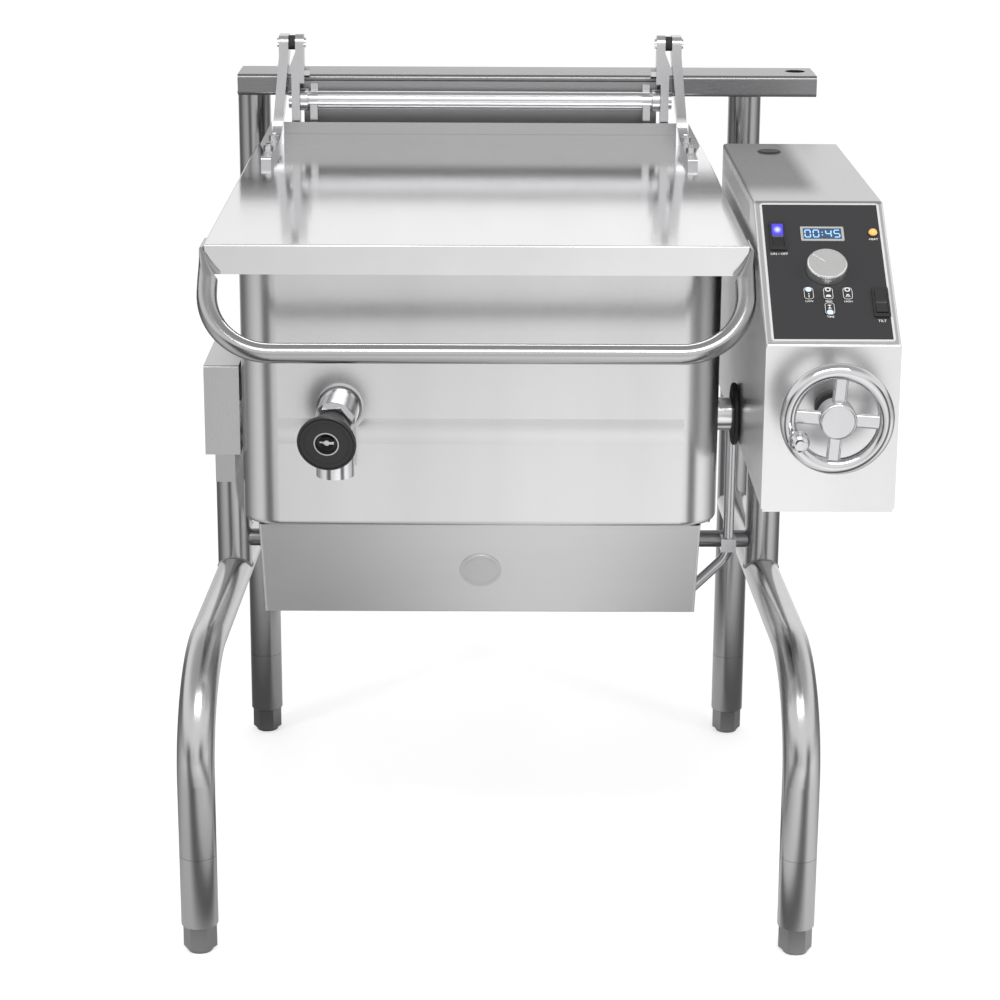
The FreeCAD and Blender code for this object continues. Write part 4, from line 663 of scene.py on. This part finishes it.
# Lit rings: small round windows over a pale blue light, on the first pad and on the lower one.
# They show which mode is on.
glow_film = Finish("glow_film", (0.45, 0.66, 0.95), 0.4, Emission_Strength=0.55)
glow_cloud = glow_film.mottle(500.0, (0.36, 0.58, 0.92), (0.66, 0.80, 1.0))
glow_light = glow_film.blend(glow_cloud, (0.34, 0.54, 0.95, 1.0), (0.72, 0.84, 1.0, 1.0))
glow_film.feed("Emission Color", glow_light)
lit_parts = bmesh.new()
lit_down = 0.0058
for seat, shift in ((pad_seats[0], ring_up), (pad_seats[3], -lit_down)):
    print_patch(lit_parts, ring_line(0.0038, 24), seat @ Matrix.Translation((0.0, shift, ink_t)), ink_t)
add_piece("lit_rings", as_mesh("lit_rings", lit_parts), glow_film, "frame")

# Power rocker: black plastic with a blue lens in its upper half, lit from behind near its top.
# The light is strongest at the bulb and fades towards the lens's edge.
blue_lens = Finish("blue_lens", (0.05, 0.09, 0.5), 0.25, Coat_Weight=0.3, Emission_Strength=1.0)
rocker_u, rocker_v = face_place(blue_lens, switch_place)
lens_low = -0.001
bulb_up = 0.0085
lens_part = rocker_v.above(lens_low, 0.0012)
from_bulb = reach(rocker_u, rocker_v - bulb_up)
hot = from_bulb.below(0.0030, 0.0028)
warm = from_bulb.below(0.0085, 0.0075)
blue_glow = blue_lens.blend(warm, (0.008, 0.006, 0.06, 1.0), (0.07, 0.05, 0.70, 1.0))
blue_glow = blue_lens.blend(hot, blue_glow, (0.85, 0.88, 1.0, 1.0))
rocker_colour = blue_lens.blend(lens_part, (0.014, 0.014, 0.018, 1.0), (0.05, 0.05, 0.40, 1.0))
blue_lens.feed("Base Color", rocker_colour)
blue_lens.feed("Emission Color", blue_lens.blend(lens_part, (0.0, 0.0, 0.0, 1.0), blue_glow))
dress(blue_lens, "power_rocker")

# Display: a pale frame round a blue glass, with the four lit digits of a clock.
# Each digit is made of short bars that lie flat on the glass.
display_place = (0.082, 0.1825)
display_top = film_t + 0.0010
window_w = 0.0480
window_h = 0.0180
display_glass = Finish("display_glass", (0.10, 0.16, 0.26), 0.16)
glass_u, glass_v = face_place(display_glass, display_place)
window = glass_u.within(-window_w / 2, window_w / 2, 0.0002)
window = window * glass_v.within(-window_h / 2, window_h / 2, 0.0002)
fleck = display_glass.noise((1.0, 1.0, 1.0), 400.0)
back_light = display_glass.blend(fleck, (0.045, 0.075, 0.13, 1.0), (0.08, 0.12, 0.19, 1.0))
display_glass.feed("Base Color", display_glass.blend(window, (0.50, 0.50, 0.49, 1.0), back_light))
dress(display_glass, "display")
digit_h = 0.0118
digit_w = 0.0066
stroke = 0.0015
digit_step = 0.0104
lit_digit = Finish("lit_digit", (0.25, 0.55, 1.0), 0.3, Emission_Strength=0.8)
digit_cloud = lit_digit.mottle(700.0, (0.16, 0.42, 1.0), (0.36, 0.66, 1.0))
digit_light = lit_digit.blend(digit_cloud, (0.14, 0.42, 1.0, 1.0), (0.40, 0.70, 1.0, 1.0))
lit_digit.feed("Emission Color", digit_light)
bars = {"top": (0, digit_h / 2, 1), "middle": (0, 0, 1), "bottom": (0, -digit_h / 2, 1),
        "high left": (-digit_w / 2, digit_h / 4, 0), "high right": (digit_w / 2, digit_h / 4, 0),
        "low left": (-digit_w / 2, -digit_h / 4, 0), "low right": (digit_w / 2, -digit_h / 4, 0)}
shapes = {"0": ("top", "bottom", "high left", "high right", "low left", "low right"),
          "4": ("middle", "high left", "high right", "low right"),
          "5": ("top", "middle", "bottom", "high left", "low right")}
digit_parts = bmesh.new()


def lit_bar(x, y, width, height):
    print_patch(digit_parts, [(x - width / 2, y - height / 2), (x + width / 2, y - height / 2),
                              (x + width / 2, y + height / 2), (x - width / 2, y + height / 2)],
                on_face(display_place[0], display_place[1], display_top), ink_t)


for digit, column in zip("0045", (-1.75, -0.75, 0.75, 1.75)):
    for bar in shapes[digit]:
        x, y, level = bars[bar]
        length = digit_w - stroke * 0.3 if level else digit_h / 2 - stroke * 1.1
        if level:
            lit_bar(column * digit_step + x, y, length, stroke)
        else:
            lit_bar(column * digit_step + x, y, stroke, length)
for y in (-digit_h / 5, digit_h / 5):
    lit_bar(0.0, y, stroke, stroke)
add_piece("display_digits", as_mesh("display_digits", digit_parts), lit_digit, "frame")

# Heat lamp: a domed amber lens in a black ring, at the right of the display.
# It is lit, so the lens glows a little.
amber = Finish("amber", (0.95, 0.42, 0.06), 0.22, Coat_Weight=0.4, Emission_Strength=0.55)
lamp_u, lamp_v = face_place(amber, lamp_place)
amber_r = 0.0054
lens = reach(lamp_u, lamp_v).below(amber_r, 0.0003)
amber_cloud = amber.noise((1.0, 1.0, 1.0), 300.0)
amber_light = amber.blend(amber_cloud, (0.85, 0.32, 0.04, 1.0), (1.0, 0.58, 0.20, 1.0))
amber.feed("Base Color", amber.blend(lens, (0.02, 0.02, 0.02, 1.0), amber_light))
amber.feed("Emission Color", amber.blend(lens, (0.0, 0.0, 0.0, 1.0), amber_light))
dress(amber, "lamp")

# Temperature knob: turned aluminium with a pointer groove, and a fine knurl round its edge.
# The turning shows as rings on its top, and the knurl is a row of small upright ribs.
knob_place = (0.082, 0.121)
knob_r = 0.0243
knurl_count = 72
turned = Finish("turned_aluminium", (0.78, 0.78, 0.77), 0.24, Metallic=1.0)
knob_u, knob_v = face_place(turned, knob_place)
from_middle = reach(knob_u, knob_v)
turning = turned.node("ShaderNodeTexNoise", {"noise_dimensions": "1D"}, {"W": from_middle, "Scale": 2400.0,
                                                                          "Detail": 2.0})
turned.feed("Base Color", turned.blend(turning, (0.88, 0.88, 0.87, 1.0), (0.98, 0.98, 0.97, 1.0)))
turned.feed("Roughness", 0.24 + turning * 0.12)
turned.relief(turning, 0.8, 0.00010)
dress(turned, "temp_knob")
knurl = Repeat("knob_knurl", Radius=knob_r, Height=0.0105, Width=0.0007)
circle = knurl.node("GeometryNodeCurvePrimitiveCircle", None, {"Resolution": knurl_count,
                                                                "Radius": knurl.size("Radius")})
spread = knurl.node("GeometryNodeCurveToPoints", {"mode": "EVALUATED"}, {"Curve": circle.outputs[0]})
rib = knurl.node("GeometryNodeMeshCylinder", {"fill_type": "TRIANGLE_FAN"},
                 {"Vertices": 6, "Radius": knurl.size("Width"), "Depth": knurl.size("Height")})
round_edge = knurl.node("GeometryNodeInstanceOnPoints", None,
                        {"Points": spread.outputs["Points"], "Instance": rib.outputs[0]})
knurl.finish(round_edge.outputs[0], turned)
empty_guide = bpy.data.meshes.new("knurl_guide")
knurl_mesh = knurl.grow("knob_knurl", empty_guide)
knurl_up = 0.0072
knurl_mesh.transform(on_face(knob_place[0], knob_place[1], film_t + knurl_up))
add_piece("knob_knurl", knurl_mesh, None, "temp_knob")

# Handwheel: chromed casting with four spokes and a spinning grip, on the shaft of the worm.
# Its hub and spokes are left with the fine skin of the casting under the chrome.
chrome = Finish("chrome", (0.82, 0.82, 0.83), 0.06, Metallic=1.0)
wheel_middle = Vector((0.3707, 0.0, 0.8330))
wheel_x = chrome.along(0) - wheel_middle.x
wheel_z = chrome.along(2) - wheel_middle.z
from_hub = reach(wheel_x, wheel_z)
cast_r = 0.052
cast_part = from_hub.below(cast_r, 0.002)
chrome_haze = chrome.mottle(24.0, (0.58, 0.58, 0.59), (0.68, 0.68, 0.69))
skin = chrome.noise((1.0, 1.0, 1.0), 260.0)
chrome.feed("Roughness", 0.04 + chrome_haze * 0.04 + cast_part * 0.16)
chrome.relief(skin * cast_part, 0.25, 0.0004)
dress(chrome, "handwheel", "grip")

# Worm drive: a steel worm cut on the handwheel's shaft turns a bronze wheel on the trunnion shaft.
# It sits inside the console. The conduit runs down from the console's floor to the cross brace.
plain_steel = brushed("plain_steel", (0.45, 0.45, 0.46), 0.34, (4.0, 4.0, 4.0))
dress(plain_steel, "worm", "worm_stand", "clad_plate")
conduit_steel = brushed("conduit_steel", (0.52, 0.52, 0.53), 0.22, (4.0, 4.0, 4.0))
dress(conduit_steel, "conduit")
bronze = Finish("bronze", (0.50, 0.34, 0.16), 0.35, Metallic=1.0)
bronze.mottle(90.0, (0.40, 0.27, 0.12), (0.58, 0.41, 0.20))
dress(bronze, "worm_wheel")

# Pan: a jacket of brushed stainless sheet round the cooking vessel, with a rolled bead near the
# bottom, rounded upright corners and a tapered firebox below.
pan_steel = brushed("pan_steel", (0.64, 0.64, 0.645), 0.24, (7.0, 7.0, 0.4),
                    cloud=0.10, fine=0.02, depth=0.000004)
dress(pan_steel, "pan_jacket")
fire_steel = brushed("fire_steel", (0.80, 0.80, 0.805), 0.44, (0.5, 9.0, 9.0), cloud=0.06, fine=0.04)
knockout_middle = (-0.0533, 0.546)
knockout_r = 0.0275
knockout_x = fire_steel.along(0) - knockout_middle[0]
knockout_z = fire_steel.along(2) - knockout_middle[1]
from_knockout = reach(knockout_x, knockout_z)
on_front = fire_steel.along(1).below(-0.20, 0.001)
disc = from_knockout.below(knockout_r, 0.0008) * on_front
disc_grain = fire_steel.noise((9.0, 9.0, 0.6), 70.0)
stamped = fire_steel.blend(disc_grain, (0.64, 0.64, 0.645, 1.0), (0.72, 0.72, 0.725, 1.0))
fire_steel.feed("Base Color", fire_steel.blend(disc, fire_steel.colour, stamped))
dress(fire_steel, "firebox")
vessel_steel = brushed("vessel_steel", (0.64, 0.64, 0.64), 0.30, (0.7, 9.0, 9.0), cloud=0.06, fine=0.04)
dress(vessel_steel, "pan_vessel")
polished = Finish("polished_steel", (0.70, 0.70, 0.71), 0.14, Metallic=1.0)
polish_haze = polished.mottle(40.0, (0.62, 0.62, 0.63), (0.78, 0.78, 0.79))
polished.feed("Roughness", 0.08 + polish_haze * 0.10)
dress(polished, "shaft_left", "shaft_right", "valve_body", "valve_bonnet", "pan_nuts")

# Draw-off valve: polished body with its outlet down, and a black moulded knob on its stem.
# A bright ring lines the knob's hub, and a ring of small moulded studs goes round its face.
valve_base = Vector((-0.2343, -0.2906, 0.7810))
valve_out = Vector((-0.105, -0.955, -0.2)).normalized()
valve_across = (Vector((1.0, 0.0, 0.0)) - valve_out * valve_out.x).normalized()
valve_rise = valve_out.cross(valve_across)
knob_top = 0.104
knob_face = (Matrix.Translation(valve_base + valve_out * knob_top)
             @ Matrix((valve_across, valve_rise, valve_out)).transposed().to_4x4())
dress(black_plastic, "valve_knob")
stem_end = Finish("stem_end", (0.74, 0.74, 0.75), 0.14, Metallic=1.0)
stem_away = [stem_end.along(axis) - valve_base[axis] for axis in range(3)]
stem_u, stem_v, stem_s = [stem_away[0] * line.x + stem_away[1] * line.y + stem_away[2] * line.z
                          for line in (valve_across, valve_rise, valve_out)]
stem_round = reach(stem_u, stem_v)
dark_end = (stem_s.above(knob_top - 0.012, 0.0004) * stem_v.math("ABSOLUTE").above(0.0016, 0.0003)
            * stem_round.above(0.0036, 0.0003))
stem_haze = stem_end.noise((1.0, 1.0, 1.0), 300.0)
stem_bright = stem_end.blend(stem_haze, (0.68, 0.68, 0.69, 1.0), (0.84, 0.84, 0.85, 1.0))
stem_end.feed("Base Color", stem_end.blend(dark_end, stem_bright, (0.03, 0.03, 0.032, 1.0)))
stem_end.feed("Roughness", 0.10 + stem_haze * 0.08 + dark_end * 0.3)
dress(stem_end, "valve_stem")
hub_outer = 0.0160
hub_inner = 0.0144
hub_steps = 48
lining = bmesh.new()
print_band(lining, ring_line(hub_outer, hub_steps), ring_line(hub_inner, hub_steps), knob_face, 0.0004)
add_piece("hub_ring", as_mesh("hub_ring", lining), polished, "valve_knob")
stud_count = 44
studs = Repeat("knob_studs", Ring=0.0285, Radius=0.0011, Height=0.0012)
stud_ring = studs.node("GeometryNodeCurvePrimitiveCircle", None,
                       {"Resolution": stud_count, "Radius": studs.size("Ring")})
stud_spots = studs.node("GeometryNodeCurveToPoints", {"mode": "EVALUATED"}, {"Curve": stud_ring.outputs[0]})
stud = studs.node("GeometryNodeMeshCylinder", {"fill_type": "TRIANGLE_FAN"},
                  {"Vertices": 12, "Radius": studs.size("Radius"), "Depth": studs.size("Height")})
stud_set = studs.node("GeometryNodeInstanceOnPoints", None,
                      {"Points": stud_spots.outputs["Points"], "Instance": stud.outputs[0]})
studs.finish(stud_set.outputs[0], black_plastic)
stud_mesh = studs.grow("knob_studs", bpy.data.meshes.new("stud_guide"))
stud_mesh.transform(knob_face)
add_piece("knob_studs", stud_mesh, None, "valve_knob")

# Lid: one folded sheet, polished brighter than the pan, with a duller stiffener at its back.
# A tube handle with flattened ends is riveted round its front.
lid_steel = brushed("lid_steel", (0.76, 0.76, 0.765), 0.11, (9.0, 0.6, 9.0),
                    cloud=0.06, fine=0.05, depth=0.000006)
dress(lid_steel, "lid_shell")
rear_steel = brushed("rear_steel", (0.46, 0.46, 0.465), 0.22, (0.6, 9.0, 9.0), cloud=0.04, depth=0.000004)
dress(rear_steel, "lid_stiffener")
handle_steel = brushed("handle_steel", (0.45, 0.45, 0.455), 0.18, (0.6, 6.0, 6.0),
                       fine=0.05, depth=0.000006)
dress(handle_steel, "lid_handle")

# Lid hinge: flat arms on the lid turn on pins in the pan's brackets, beside the spring tube.
# The plate behind the fluted tube is plain sheet, darker than the bright tube and collars.
hinge_steel = brushed("hinge_steel", (0.60, 0.60, 0.61), 0.22, (6.0, 6.0, 1.0))
dress(hinge_steel, "lid_arm_left", "lid_arm_right", "hinge_bracket_left", "hinge_bracket_right")
dress(polished, "hinge_pins", "lid_fasteners")
plate_front = 0.4698
spring_steel = Finish("spring_steel", (0.72, 0.72, 0.73), 0.28, Metallic=1.0)
behind = spring_steel.along(1).above(plate_front, 0.0002)
draw_lines = spring_steel.noise((0.4, 9.0, 9.0), 60.0)
bright = spring_steel.blend(draw_lines, (0.44, 0.44, 0.45, 1.0), (0.60, 0.60, 0.61, 1.0))
spring_steel.feed("Base Color", spring_steel.blend(behind, bright, (0.34, 0.34, 0.345, 1.0)))
spring_steel.feed("Roughness", 0.24 + draw_lines * 0.10 + behind * 0.08)
dress(spring_steel, "spring_tube")
